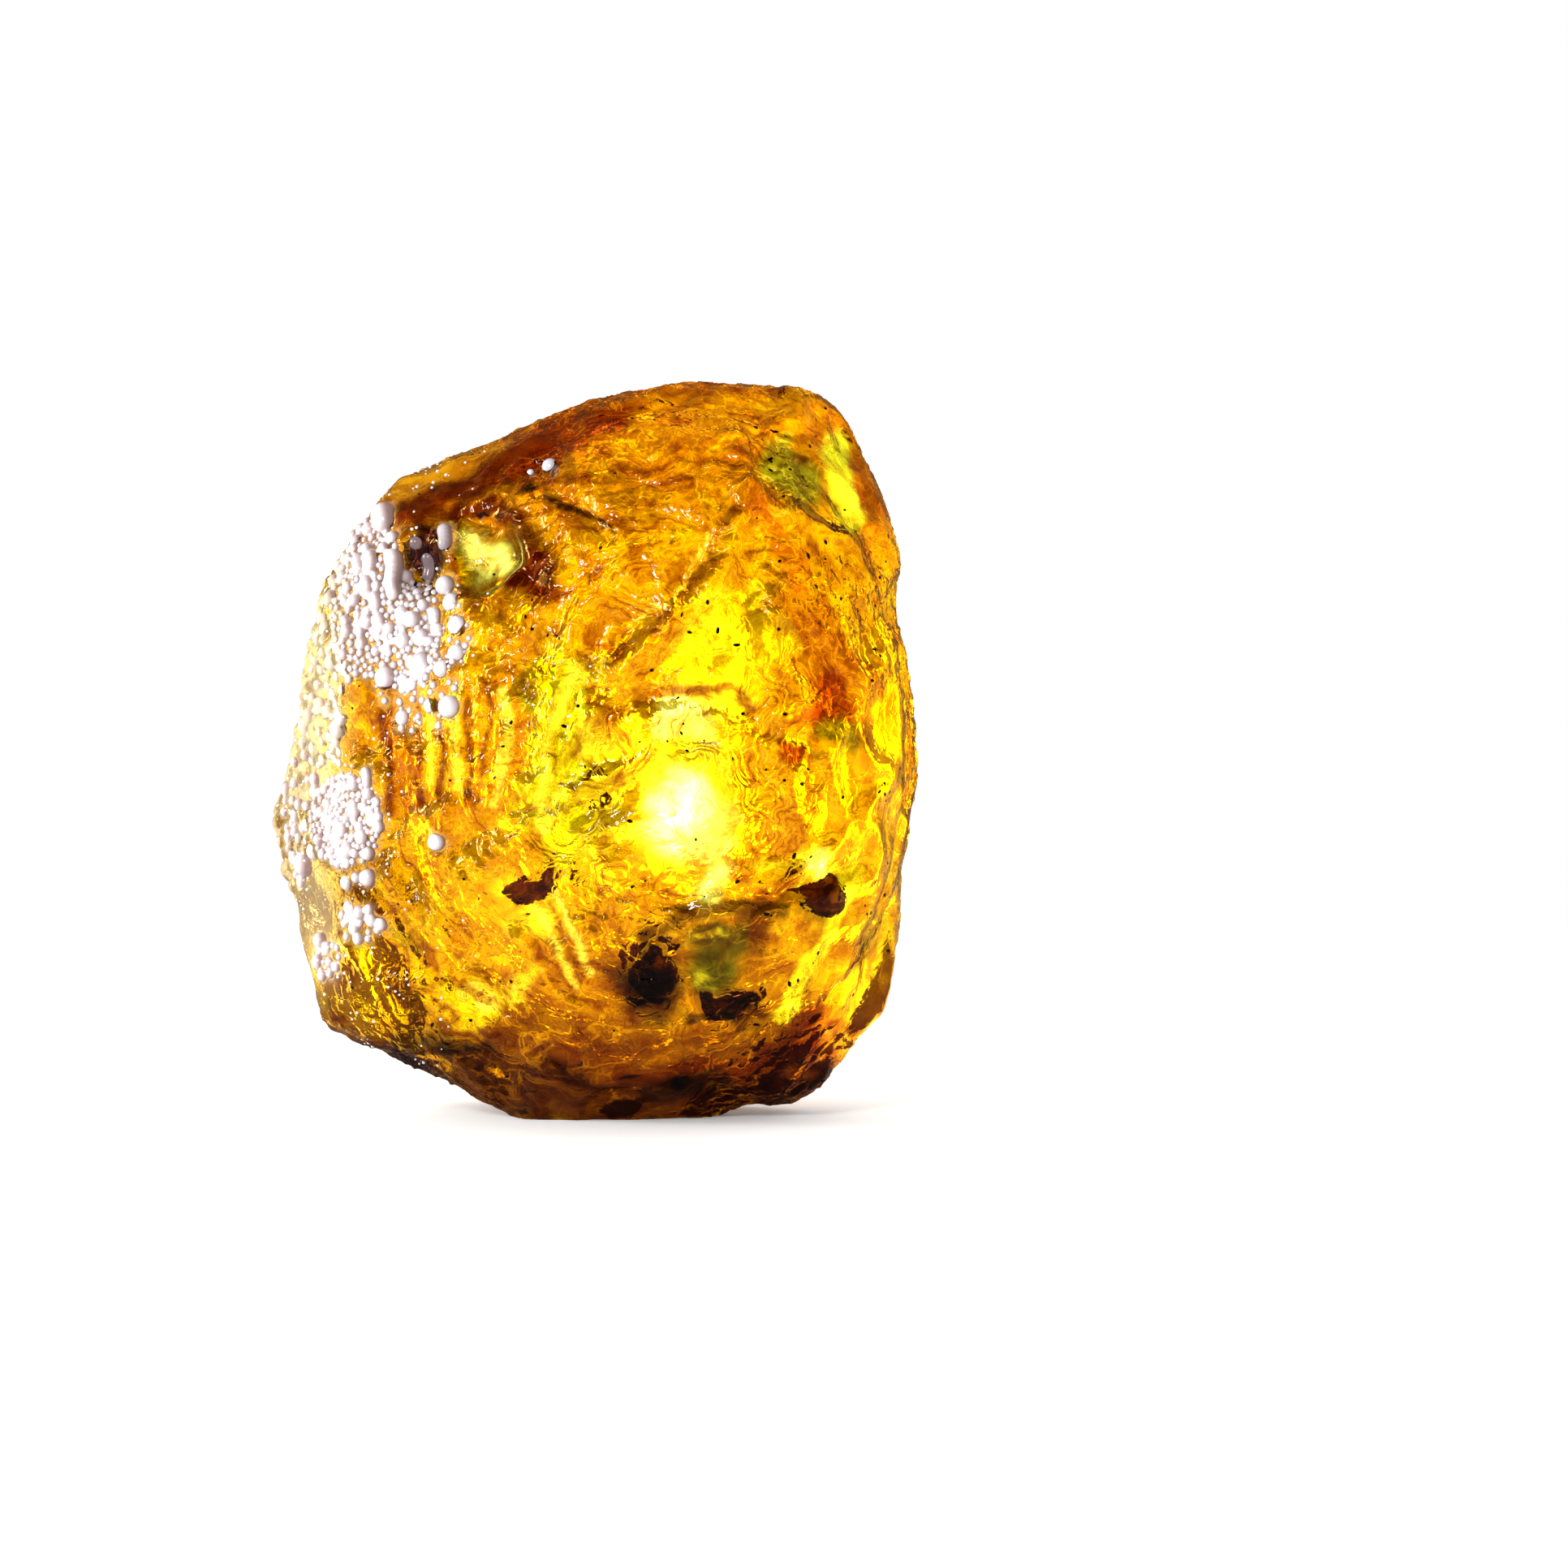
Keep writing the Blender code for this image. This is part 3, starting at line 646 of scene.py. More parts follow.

# %% [markdown]
# ## Fine crinkles, by Geometry Nodes
#
# Drying resin shrinks under its skin, which crinkles like cellophane: sharp thin ridges
# with soft swells between them. Noise folded about its middle gives just that. The tree
# moves each point along its normal, less on the crust and on fresh breaks.

# %% Crinkle tree


def folded_noise(tree, place, spacing, sharpness):
    """Thin ridges: 1 along each, falling to 0 between them."""
    per_size = math_node(tree, "DIVIDE", 1.0, spacing)
    swells = add_node(tree, "ShaderNodeTexNoise", {"Vector": place, "Scale": per_size, "Detail": 1.0})
    off_middle = math_node(tree, "ABSOLUTE", math_node(tree, "SUBTRACT", swells.outputs[0], 0.5))
    ridge = math_node(tree, "SUBTRACT", 1.0, math_node(tree, "MULTIPLY", off_middle, sharpness))
    return math_node(tree, "POWER", math_node(tree, "MAXIMUM", ridge, 0.0), 2.0)


STRAND_MIDDLE = (4.0, 25.0)
STRAND_RING = 20.0


def strand_places(tree, place, stretch):
    """Places bent round the middle of the last run and squeezed along the ring by the stretch."""
    parts = add_node(tree, "ShaderNodeSeparateXYZ", {0: place}).outputs
    across = math_node(tree, "SUBTRACT", parts[0], STRAND_MIDDLE[0])
    up = math_node(tree, "SUBTRACT", parts[2], STRAND_MIDDLE[1])
    out = math_node(tree, "SQRT", math_node(tree, "ADD", math_node(tree, "MULTIPLY", across, across), math_node(tree, "MULTIPLY", up, up)))
    angle = math_node(tree, "ARCTAN2", up, across)
    along = math_node(tree, "DIVIDE", math_node(tree, "MULTIPLY", angle, STRAND_RING), stretch)
    deep = math_node(tree, "DIVIDE", parts[1], stretch)
    return add_node(tree, "ShaderNodeCombineXYZ", {0: along, 1: out, 2: deep}).outputs[0], out


def crinkle_tree():
    sizes = ["Flow size", "Flow reach", "Ridge spacing", "Ridge height", "Fine spacing", "Fine height"]
    sizes += ["Strand spacing", "Strand stretch", "Strand height", "Share behind"]
    tree, given, result = new_tree("crinkled skin", dict.fromkeys(sizes, "NodeSocketFloat"))
    size = given.outputs
    place = add_node(tree, "GeometryNodeInputPosition").outputs[0]
    place = vector_node(tree, "SCALE", a=place, scale=1 / MM)
    per_flow = math_node(tree, "DIVIDE", 1.0, size["Flow size"])
    flow = add_node(tree, "ShaderNodeTexNoise", {"Vector": place, "Scale": per_flow, "Detail": 2.0})
    flow = vector_node(tree, "SUBTRACT", a=flow.outputs["Color"], b=(0.5, 0.5, 0.5))
    flow = vector_node(tree, "SCALE", a=flow, scale=size["Flow reach"])
    moved = vector_node(tree, "ADD", a=place, b=flow)
    ridges = folded_noise(tree, moved, size["Ridge spacing"], 7.0)
    fine = folded_noise(tree, moved, size["Fine spacing"], 6.0)
    ring, out = strand_places(tree, vector_node(tree, "ADD", a=place, b=vector_node(tree, "SCALE", a=flow, scale=0.4)), size["Strand stretch"])
    strands = folded_noise(tree, ring, size["Strand spacing"], 5.0)
    inputs = {"Value": out, 1: 6.0, 2: 13.0, 3: 0.0, 4: 1.0}
    strands = math_node(tree, "MULTIPLY", strands, add_node(tree, "ShaderNodeMapRange", inputs).outputs[0])
    crust = add_node(tree, "GeometryNodeInputNamedAttribute", {"Name": "crust"}).outputs[0]
    smooth = add_node(tree, "GeometryNodeInputNamedAttribute", {"Name": "smooth"}).outputs[0]
    rough = math_node(tree, "SUBTRACT", 1.0, math_node(tree, "MAXIMUM", crust, smooth))
    high = math_node(tree, "MULTIPLY", ridges, size["Ridge height"])
    high = math_node(tree, "ADD", high, math_node(tree, "MULTIPLY", fine, size["Fine height"]))
    high = math_node(tree, "ADD", high, math_node(tree, "MULTIPLY", strands, size["Strand height"]))
    normal = add_node(tree, "GeometryNodeInputNormal").outputs[0]
    facing = add_node(tree, "ShaderNodeSeparateXYZ", {0: normal}).outputs[1]
    inputs = {"Value": facing, 1: -0.1, 2: 0.5, 3: 1.0, 4: size["Share behind"]}
    high = math_node(tree, "MULTIPLY", high, add_node(tree, "ShaderNodeMapRange", inputs).outputs[0])
    high = math_node(tree, "MULTIPLY", math_node(tree, "MULTIPLY", high, rough), MM)
    offset = vector_node(tree, "SCALE", a=normal, scale=high)
    raised = add_node(tree, "GeometryNodeSetPosition", {"Geometry": given.outputs[0], "Offset": offset})
    tree.links.new(raised.outputs[0], result.inputs[0])
    return tree


CRINKLES = {
    "Flow size": 3.2,
    "Flow reach": 3.6,
    "Ridge spacing": 1.9,
    "Ridge height": 0.16,
    "Fine spacing": 0.85,
    "Fine height": 0.05,
    "Strand spacing": 1.3,
    "Strand stretch": 6.0,
    "Strand height": 0.12,
    "Share behind": 0.45,
}
apply_tree(amber, crinkle_tree(), CRINKLES)

MOST_TRIANGLES = 190_000
thin = amber.modifiers.new("thin", "DECIMATE")
thin.ratio = min(1.0, MOST_TRIANGLES / count_triangles(amber.data))
with_modifiers_applied(amber)
points = read_points(amber.data)
points[:, UP] = np.maximum(points[:, UP], 0.0)
set_points(amber.data, points)
amber.data.shade_smooth()
print("crinkled skin:", count_triangles(amber.data), "triangles")

# %% [markdown]
# ## Colours in the skin
#
# The colour of raw amber is in two places. The depth is yellow, from absorption. The skin
# holds the rest: it is chestnut low down and clear yellow where the last run is clean. It
# also carries painted light: near-white spots and bright lines are painted highlights, and
# dark lines in the folds and round the bowl are painted shade. None of this has a pattern
# that noise could give, so it is listed: soft spots, and streaks that follow a line of points.
# Each colour is the one that the place shows with light coming through it from behind,
# and dividing by that light gives the skin's own share of it.

# %% Stains and painted light
INSIDE_LIGHT = np.array((1.5, 0.95, 0.16))
CLEAN_SKIN = "#D69400"
CLEAN_BEHIND = "#FFEE9A"
# Spots: middle (x, z), half sizes, turn in degrees, colour, strength.
SPOTS = [
    ((4.0, 9.0), (15.0, 5.0), 0, "#A86200", 0.65),
    ((-8.0, 25.5), (4.0, 7.0), 0, "#E89C00", 0.70),
    ((-12.4, 24.6), (1.5, 5.0), 0, "#B86000", 0.85),
    ((-14.6, 9.0), (5.4, 4.6), 0, "#E8AC00", 0.90),
    ((-16.6, 9.6), (1.3, 1.3), 0, "#FFE050", 1.00),
    ((-15.2, 6.8), (1.6, 0.9), -30, "#FFD028", 1.00),
    ((-12.0, 12.6), (1.4, 0.9), -20, "#806C08", 0.60),
    ((-17.5, 14.0), (2.4, 5.0), 0, "#C89830", 0.80),
    ((15.2, 30.4), (4.0, 6.2), 12, "#B05C00", 0.90),
    ((17.2, 32.6), (1.2, 2.6), 10, "#E8A800", 0.80),
    ((13.0, 32.8), (1.3, 2.2), 20, "#8E3800", 0.75),
    ((-1.9, 24.5), (2.6, 8.0), 4, "#C8C400", 0.80),
    ((1.0, 21.5), (1.9, 6.5), 0, "#CDB408", 0.75),
    ((-3.5, 26.5), (0.9, 3.6), 12, "#988A08", 0.75),
    ((0.4, 30.4), (1.7, 1.3), 40, "#907C08", 0.85),
    # Painted shade at the right of the bowl beside the knobs.
    ((-4.4, 36.6), (2.4, 3.2), 0, "#4A0E00", 1.00),
    # Painted shade in the pocket left of the bowl.
    ((-10.8, 37.8), (2.2, 3.3), 0, "#260604", 1.00),
    ((-4.5, 42.6), (2.4, 1.3), 20, "#541600", 0.90),
    ((-3.7, 42.3), (0.9, 0.7), 0, "#160500", 1.00),
    ((9.3, 31.4), (3.3, 4.4), -30, "#FADC08", 1.00),
    ((6.0, 23.0), (3.4, 6.8), 0, "#F6DC10", 0.95),
    # Painted highlights, these five spots: the skin is clear, yellow to near-white, where bright light shows through,
    # and the lamp behind makes the first one the hot spot.
    ((6.4, 20.2), (2.6, 2.8), 0, "#FFFFFF", 1.00),
    ((6.0, 27.0), (1.2, 1.8), 0, "#FFFF90", 0.90),
    ((8.3, 16.6), (1.3, 1.3), 0, "#FFFFB0", 1.00),
    ((14.4, 17.2), (3.4, 1.3), 10, "#FFE418", 0.90),
    ((14.6, 17.3), (1.0, 0.9), 0, "#FFFFC0", 1.00),
    # The bowl beside the knobs: painted shade on its dark olive left side, and painted highlights in its bright middle.
    ((-7.2, 37.6), (2.4, 2.4), 0, "#6A6400", 1.00),
    ((-6.8, 37.6), (1.3, 1.9), 8, "#FFFF70", 1.00),
    ((-6.5, 37.9), (0.6, 1.1), 8, "#FFFFFF", 1.00),
    ((11.8, 43.3), (1.4, 1.5), 0, "#8C7C0A", 0.95),
    ((13.4, 41.9), (1.7, 2.2), 30, "#7E7008", 0.95),
    ((13.6, 43.5), (0.8, 0.5), 0, "#4A1A00", 0.90),
    ((15.6, 46.3), (2.8, 1.9), -20, "#E08200", 0.97),
    ((18.9, 41.6), (2.1, 4.2), 15, "#A65000", 0.97),
    ((19.3, 37.2), (1.3, 2.4), 10, "#DC8C00", 0.95),
    ((15.4, 28.0), (1.4, 1.8), 0, "#882600", 0.90),
    ((12.7, 25.2), (1.5, 0.9), 0, "#7C2000", 0.92),
    ((16.5, 26.0), (1.8, 1.5), 0, "#6A5800", 0.85),
    ((-7.9, 8.2), (2.4, 1.6), 0, "#F8CC00", 0.85),
    ((-7.6, 8.4), (1.0, 0.7), 0, "#FFF040", 0.85),
    ((-4.6, 10.0), (1.0, 1.6), -30, "#FFDC18", 0.85),
    ((3.9, 9.7), (2.3, 3.4), 8, "#2C1200", 1.00),
    ((8.4, 13.2), (3.6, 1.9), 6, "#403604", 0.92),
    ((7.4, 13.2), (1.5, 0.5), 12, "#D8C420", 0.80),
    ((8.2, 10.2), (2.2, 2.3), 0, "#504804", 1.00),
    ((7.6, 9.8), (0.8, 0.6), 30, "#B8A818", 0.80),
    ((10.7, 13.0), (0.9, 1.9), 0, "#6C3200", 0.80),
    ((10.2, 7.6), (1.7, 1.2), 0, "#4A1C00", 0.90),
    ((14.6, 14.6), (2.1, 1.4), 0, "#6A4800", 0.80),
    ((15.3, 5.8), (2.0, 2.2), 0, "#8A2C00", 0.80),
    ((16.4, 4.2), (1.8, 1.3), 30, "#E8940C", 0.95),
    ((13.4, 3.0), (1.5, 0.7), 10, "#C86400", 0.85),
    ((17.8, 10.0), (1.9, 3.8), -15, "#D09C00", 0.95),
    ((-4.2, 14.6), (2.8, 1.7), -36, "#F6CC10", 0.85),
    ((-8.8, 4.9), (2.0, 0.9), -15, "#1C0600", 0.95),
    ((-0.3, 2.7), (1.9, 0.8), 0, "#200600", 0.95),
    ((-10.3, 3.9), (0.9, 0.6), 0, "#F0A000", 0.90),
    ((-6.6, 3.2), (0.7, 0.5), 0, "#F09000", 0.80),
    # A lighter band down the right rim: painted light, where the rim glows.
    ((19.9, 22.0), (1.4, 9.0), 0, "#F0AC00", 0.85),
]
# Streaks: a line of points (x, z), half width, colour, strength. After the first three broad bands, the near-white and
# bright yellow streaks are painted highlights along ridges, drips and rims. The dark streaks that follow folds,
# grooves, drips and the rim of the bowl are painted shade, with cracks and veins in some of them.
STREAKS = [
    ([(-10, 41), (4, 45), (14, 44)], 5.2, "#BA6A00", 0.80),
    ([(-13, 3.6), (-6, 2.2), (2, 1.6), (10, 1.8), (15.0, 3.0)], 3.7, "#380400", 0.97),
    ([(-6, 7.0), (0, 5.8), (7, 4.8), (13, 5.6)], 2.3, "#5A1600", 0.90),
    ([(-12.5, 40.9), (-5, 44), (1.5, 47)], 1.9, "#701E00", 0.97),
    ([(-14.5, 41.3), (-10.5, 43.0), (-6.5, 44.9)], 1.1, "#FFA810", 0.97),
    ([(-6, 46), (0, 48), (6, 48.7), (12, 48.8)], 0.9, "#9A4A00", 0.85),
    ([(15.9, 44.8), (16.2, 42.4), (17.3, 39.6)], 0.9, "#FFF820", 1.00),
    # Painted shade round the rim of the bowl and down its left side.
    ([(-9.4, 38.2), (-8.6, 40.2), (-6.4, 40.8), (-4.6, 39.6)], 0.6, "#5A1400", 0.95),
    ([(-9.4, 37.6), (-8.6, 35.4), (-6.8, 34.6)], 0.4, "#7A3600", 0.90),
    ([(-3.6, 35.0), (-2.2, 34.6), (-1.0, 34.9)], 0.5, "#7A2400", 0.90),
    ([(-2.5, 41), (-0.6, 40.2), (1.4, 38.7)], 0.30, "#360A00", 0.95),
    # The long fold at the top: a darker line as painted shade on one side, and a bright line as a painted highlight on
    # the other.
    ([(9.1, 40.4), (8.2, 37.3), (5, 33.2), (1.9, 31.0)], 0.45, "#A86400", 0.45),
    ([(7.8, 38.6), (6.4, 35.8), (3.6, 33.2)], 0.16, "#FFDC30", 0.80),
    ([(10.9, 40.6), (12.4, 38.4), (13.6, 35.7)], 1.0, "#C05C00", 0.75),
    ([(1.5, 26.9), (3.5, 28.3), (8.7, 28.9), (10.5, 27.4)], 0.5, "#8E4A00", 0.90),
    # Down the drips: bright yellow lines as painted highlights on the ridges, and dark lines between them, partly
    # cracks and partly painted shade.
    ([(-13.3, 29.0), (-13.2, 24.5), (-12.8, 20.5)], 0.35, "#7A3000", 0.90),
    ([(-11.2, 29.4), (-10.9, 25.5), (-11.2, 21.0)], 0.30, "#8A3A00", 0.90),
    ([(-10.3, 28.4), (-10.0, 25.0), (-10.2, 22.8)], 0.35, "#FFE020", 0.95),
    ([(-9.5, 27.0), (-9.2, 24.4), (-9.6, 22.0)], 0.28, "#6E2C00", 0.90),
    ([(-8.6, 28.6), (-8.3, 25.6), (-8.6, 22.4)], 0.32, "#FFE830", 0.95),
    ([(-7.6, 27.8), (-7.5, 24.8), (-7.9, 21.4)], 0.28, "#7E3A00", 0.90),
    ([(-6.4, 29.2), (-6.2, 26.0), (-6.8, 23.0)], 0.26, "#8C4A00", 0.85),
    ([(-5.4, 28.4), (-5.2, 25.0), (-5.6, 21.4)], 0.35, "#FFF040", 0.95),
    ([(-2.4, 16.8), (-1.3, 13.4), (0.2, 10.2)], 0.26, "#FFF050", 0.90),
    ([(-3.6, 14.6), (-2.0, 12.0), (-0.6, 9.6)], 0.20, "#FFE840", 0.85),
    ([(-3.0, 15.4), (-1.6, 12.6), (-0.2, 9.8)], 0.22, "#8A4400", 0.85),
    ([(0.6, 16.4), (0.4, 13.6), (1.2, 11.0)], 0.22, "#A05C00", 0.80),
    ([(-1.0, 29.9), (-2.4, 25), (-2.8, 20)], 0.4, "#FFF430", 0.95),
    ([(-0.6, 29.4), (0.2, 25), (-2.4, 20.2)], 0.35, "#F2EC20", 0.90),
    ([(12.4, 7.4), (14.2, 10.5), (16.0, 14.0), (17.2, 17)], 0.6, "#FFE810", 0.90),
    ([(3.4, 12.6), (6, 14.5), (9.0, 15.1), (12.4, 14.4)], 0.5, "#5A3400", 0.90),
    ([(6.4, 7.4), (8.8, 7.3), (11, 8.4)], 0.5, "#341200", 0.95),
    ([(3.4, 1.9), (8.8, 2.6)], 0.9, "#1E0600", 0.95),
]
# Where less light comes through from behind: middle (x, z), half sizes, share of the light.
DIM_PLACES = [
    ((19.4, 42.0), (2.4, 8.0), 0.80),
    ((4.0, 47.0), (14.0, 4.0), 0.60),
    ((-16.6, 8.6), (4.4, 6.0), 0.40),
    ((17.6, 6.6), (3.4, 5.4), 0.45),
]
WANDER = [(2.6, 1.5), (0.9, 0.55)]
FINE_WANDER = 0.4
WANDER_SEED = 103


def wandered(points):
    """The points moved by noise, so that the rims of spots and streaks are ragged."""
    noise.seed_set(WANDER_SEED)
    moved = points.copy()
    for size, reach in WANDER:
        for i, point in enumerate(points):
            moved[i] += reach * np.array(noise.noise_vector(Vector(point) / size))
    return moved


def light_inside(spread):
    """The light that comes through from behind, at each point."""
    share = np.ones(len(spread))
    for middle, half_sizes, dim in DIM_PLACES:
        reach = np.hypot(*((spread - middle) / half_sizes).T)
        share *= 1 - (1 - dim) * (1 - smooth_step(0.5, 1.2, reach))
    return np.outer(share, INSIDE_LIGHT)


def stains_and_painted_light(points, normals):
    spread = wandered(points)[:, [ACROSS, UP]]
    fine_spread = points[:, [ACROSS, UP]] + FINE_WANDER * (spread - points[:, [ACROSS, UP]])
    front = smooth_step(0.35, -0.15, normals[:, DEEP])
    light = light_inside(points[:, [ACROSS, UP]])
    colours = np.tile(linear(CLEAN_BEHIND)[:3], (len(points), 1))

    def lay(share, code, strength):
        """What one pass of the skin lets through where it shows the given colour."""
        part = (share * front * strength)[:, None]
        colours[:] = colours * (1 - part) + np.minimum(np.array(linear(code)[:3]) / light, 1.0) * part

    lay(1.0, CLEAN_SKIN, 1.0)

    for path, half_width, code, strength in STREAKS[:3]:
        lay(1 - smooth_step(0.5, 1.3, distance_to_path(spread, path) / half_width), code, strength)
    for middle, half_sizes, turn, code, strength in SPOTS:
        turned = complex(math.cos(math.radians(turn)), -math.sin(math.radians(turn)))
        off = (spread[:, 0] - middle[0] + 1j * (spread[:, 1] - middle[1])) * turned
        reach = np.hypot(off.real / half_sizes[0], off.imag / half_sizes[1])
        lay(1 - smooth_step(0.4, 1.25, reach), code, strength)
    for path, half_width, code, strength in STREAKS[3:]:
        lay(1 - smooth_step(0.5, 1.2, distance_to_path(fine_spread, path) / half_width), code, strength)
    return np.hstack([colours, np.ones((len(points), 1))])


store_attribute(amber.data, "skin_stains_and_light", stains_and_painted_light(read_points(amber.data), read_normals(amber.data)))
print("stains:", len(SPOTS), "spots and", len(STREAKS), "streaks")

# %% [markdown]
# ## Amber
#
# Amber is a resin with an index of refraction of 1.54. It swallows blue almost at once
# and green slowly: that is the absorption of its volume. The shader tints light by the
# root of the base colour at each surface that it goes through, so the base colour is the
# square of what one pass of the skin lets through.

# %% Amber
AMBER_IOR = 1.54
ABSORBED_PER_METRE = 60.0
LET_THROUGH = "#FBE600"
MILKINESS = 0.60
CELL_SIZE = 2.0
MILK_FLANK, MILK_FRONT = "#FFF0C0", "#B08C78"


def remapped(tree, value, low, high, to_low=0.0, to_high=1.0):
    inputs = {"Value": value, 1: low, 2: high, 3: to_low, 4: to_high}
    return add_node(tree, "ShaderNodeMapRange", inputs, interpolation_type="SMOOTHSTEP").outputs[0]


def flow_lines(tree, place, size, count):
    """Lines that run side by side and curl, as 0 in the middle of one and 1 at its rims."""
    inputs = {"Vector": place, "Scale": 1 / size, "Detail": 1.0, "Distortion": 0.7}
    height = add_node(tree, "ShaderNodeTexNoise", inputs).outputs[0]
    step = math_node(tree, "FRACT", math_node(tree, "MULTIPLY", height, count))
    return math_node(tree, "ABSOLUTE", math_node(tree, "SUBTRACT", math_node(tree, "MULTIPLY", step, 2.0), 1.0))


def tinted(tree, colour, share, tint):
    """The colour multiplied by the tint where the share is 1."""
    inputs = {0: share, MIX_A: colour, MIX_B: tint}
    return add_node(tree, "ShaderNodeMix", inputs, data_type="RGBA", blend_type="MULTIPLY").outputs[MIX_RESULT]


def amber_material():
    """Clear resin, broken and weathered: a glossy skin over a yellow depth."""
    material, tree, shader = new_material("fossil resin, raw")
    place = add_node(tree, "ShaderNodeTexCoord").outputs["Object"]
    place = vector_node(tree, "SCALE", a=place, scale=1 / MM)
    skin = add_node(tree, "ShaderNodeAttribute", attribute_name="skin_stains_and_light").outputs["Color"]
    smooth = add_node(tree, "ShaderNodeAttribute", attribute_name="smooth").outputs["Fac"]
    rough = math_node(tree, "SUBTRACT", 1.0, math_node(tree, "MULTIPLY", smooth, 0.8))

    warp = add_node(tree, "ShaderNodeTexNoise", {"Vector": place, "Scale": 0.35, "Detail": 2.0}).outputs["Color"]
    warp = vector_node(tree, "SUBTRACT", a=warp, b=(0.5, 0.5, 0.5))
    bent = vector_node(tree, "ADD", a=place, b=vector_node(tree, "SCALE", a=warp, scale=3.0))
    ring, out = strand_places(tree, bent, 5.0)
    clouds = add_node(tree, "ShaderNodeTexNoise", {"Vector": bent, "Scale": 0.5, "Detail": 4.0}).outputs[0]
    skin = tinted(tree, skin, remapped(tree, clouds, 0.58, 0.36), (0.72, 0.56, 0.45, 1))
    curls = flow_lines(tree, bent, 5.2, 9.0)
    strands = flow_lines(tree, ring, 4.0, 7.0)
    lines = add_node(tree, "ShaderNodeMix", {0: remapped(tree, out, 9.0, 12.5), 2: curls, 3: strands}).outputs[0]
    # Darker curling lines: partly veins in the skin and partly painted shade along the crinkles.
    veins_and_painted_shade = math_node(tree, "MULTIPLY", remapped(tree, lines, 0.42, 0.06), rough)
    veins_and_painted_shade = math_node(tree, "MULTIPLY", veins_and_painted_shade, remapped(tree, clouds, 0.62, 0.42, 0.15, 0.8))
    skin = tinted(tree, skin, veins_and_painted_shade, (0.50, 0.27, 0.10, 1))
    curl = add_node(tree, "ShaderNodeTexNoise", {"Vector": bent, "Scale": 0.9, "Detail": 1.0}).outputs["Color"]
    curled = vector_node(tree, "MULTIPLY_ADD", a=curl, b=(2.2, 2.2, 2.2), c=bent)
    cells = {"Vector": curled, "Scale": 1 / CELL_SIZE}
    rims = add_node(tree, "ShaderNodeTexVoronoi", cells, feature="DISTANCE_TO_EDGE").outputs["Distance"]
    # Lighter lines on the cell rims and beside the curls: painted highlights, where the crinkles would bring light
    # through.
    network = math_node(tree, "MULTIPLY", remapped(tree, rims, 0.08, 0.02), remapped(tree, clouds, 0.46, 0.60, 0.15, 0.85))
    beside = math_node(tree, "MULTIPLY", remapped(tree, lines, 0.80, 0.97), remapped(tree, clouds, 0.60, 0.44, 0.15, 0.70))
    painted_highlight = math_node(tree, "MULTIPLY", math_node(tree, "MAXIMUM", network, beside), rough)
    highlight_colour = add_node(tree, "ShaderNodeGamma", {"Color": skin, "Gamma": 0.6}).outputs[0]
    skin = mix_colour(tree, painted_highlight, skin, highlight_colour)
    base = tinted(tree, skin, 1.0, skin)

    milky = add_node(tree, "ShaderNodeAttribute", attribute_name="crust").outputs["Fac"]
    milky = math_node(tree, "MULTIPLY", milky, MILKINESS)
    across = add_node(tree, "ShaderNodeSeparateXYZ", {0: place}).outputs[0]
    milk = mix_colour(tree, remapped(tree, across, -17.4, -15.0), linear(MILK_FLANK), linear(MILK_FRONT))
    base = mix_colour(tree, milky, base, milk)
    tree.links.new(base, shader.inputs["Base Color"])
    tree.links.new(math_node(tree, "SUBTRACT", 1.0, milky), shader.inputs["Transmission Weight"])
    shader.inputs["Roughness"].default_value = 0.04
    shader.inputs["IOR"].default_value = AMBER_IOR
    fine = add_node(tree, "ShaderNodeTexNoise", {"Vector": bent, "Scale": 1.6, "Detail": 2.0}).outputs[0]
    height = math_node(tree, "ADD", fine, math_node(tree, "MULTIPLY", lines, 0.55))
    height = math_node(tree, "ADD", height, math_node(tree, "MULTIPLY", remapped(tree, rims, 0.10, 0.0), 0.4))
    height = math_node(tree, "MULTIPLY", height, rough)
    bump = add_node(tree, "ShaderNodeBump", {"Height": height, "Strength": 0.55, "Distance": 0.13 * MM})
    tree.links.new(bump.outputs[0], shader.inputs["Normal"])
    depth = add_node(tree, "ShaderNodeVolumeAbsorption")
    depth.inputs["Color"].default_value = linear(LET_THROUGH)
    depth.inputs["Density"].default_value = ABSORBED_PER_METRE
    tree.links.new(depth.outputs[0], tree.nodes["Material Output"].inputs["Volume"])
    return material


amber.data.materials.clear()
amber.data.materials.append(amber_material())
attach(amber, "root")
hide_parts("amber_front", "amber_back")

# %% [markdown]
# ## Pearly knobs
#
# Weathering has made the knobs on the front flank milky, like pearls: white where the
# lamp strikes them and lilac in their own shade. Where they run into the fold beside the
# bowl they are coloured nearly black, as painted shade, and each is coloured darker and
# warmer low on its sides, also as painted shade. Each is a ball on the skin, by the same
# tree as the fused ones.

# %% Pearls
# The darkest colour here is used at random and as painted shade in the pocket beside the bowl; the last is the painted
# shade low on each pearl's sides.
PEARL, PEARL_SHADE, PEARL_CREAM, PEARL_FOOT_SHADE = "#FCF6FA", "#5A424C", "#FFF0C4", "#A88680"
SMALL = 0.30
PEARL_VOXEL = 0.11


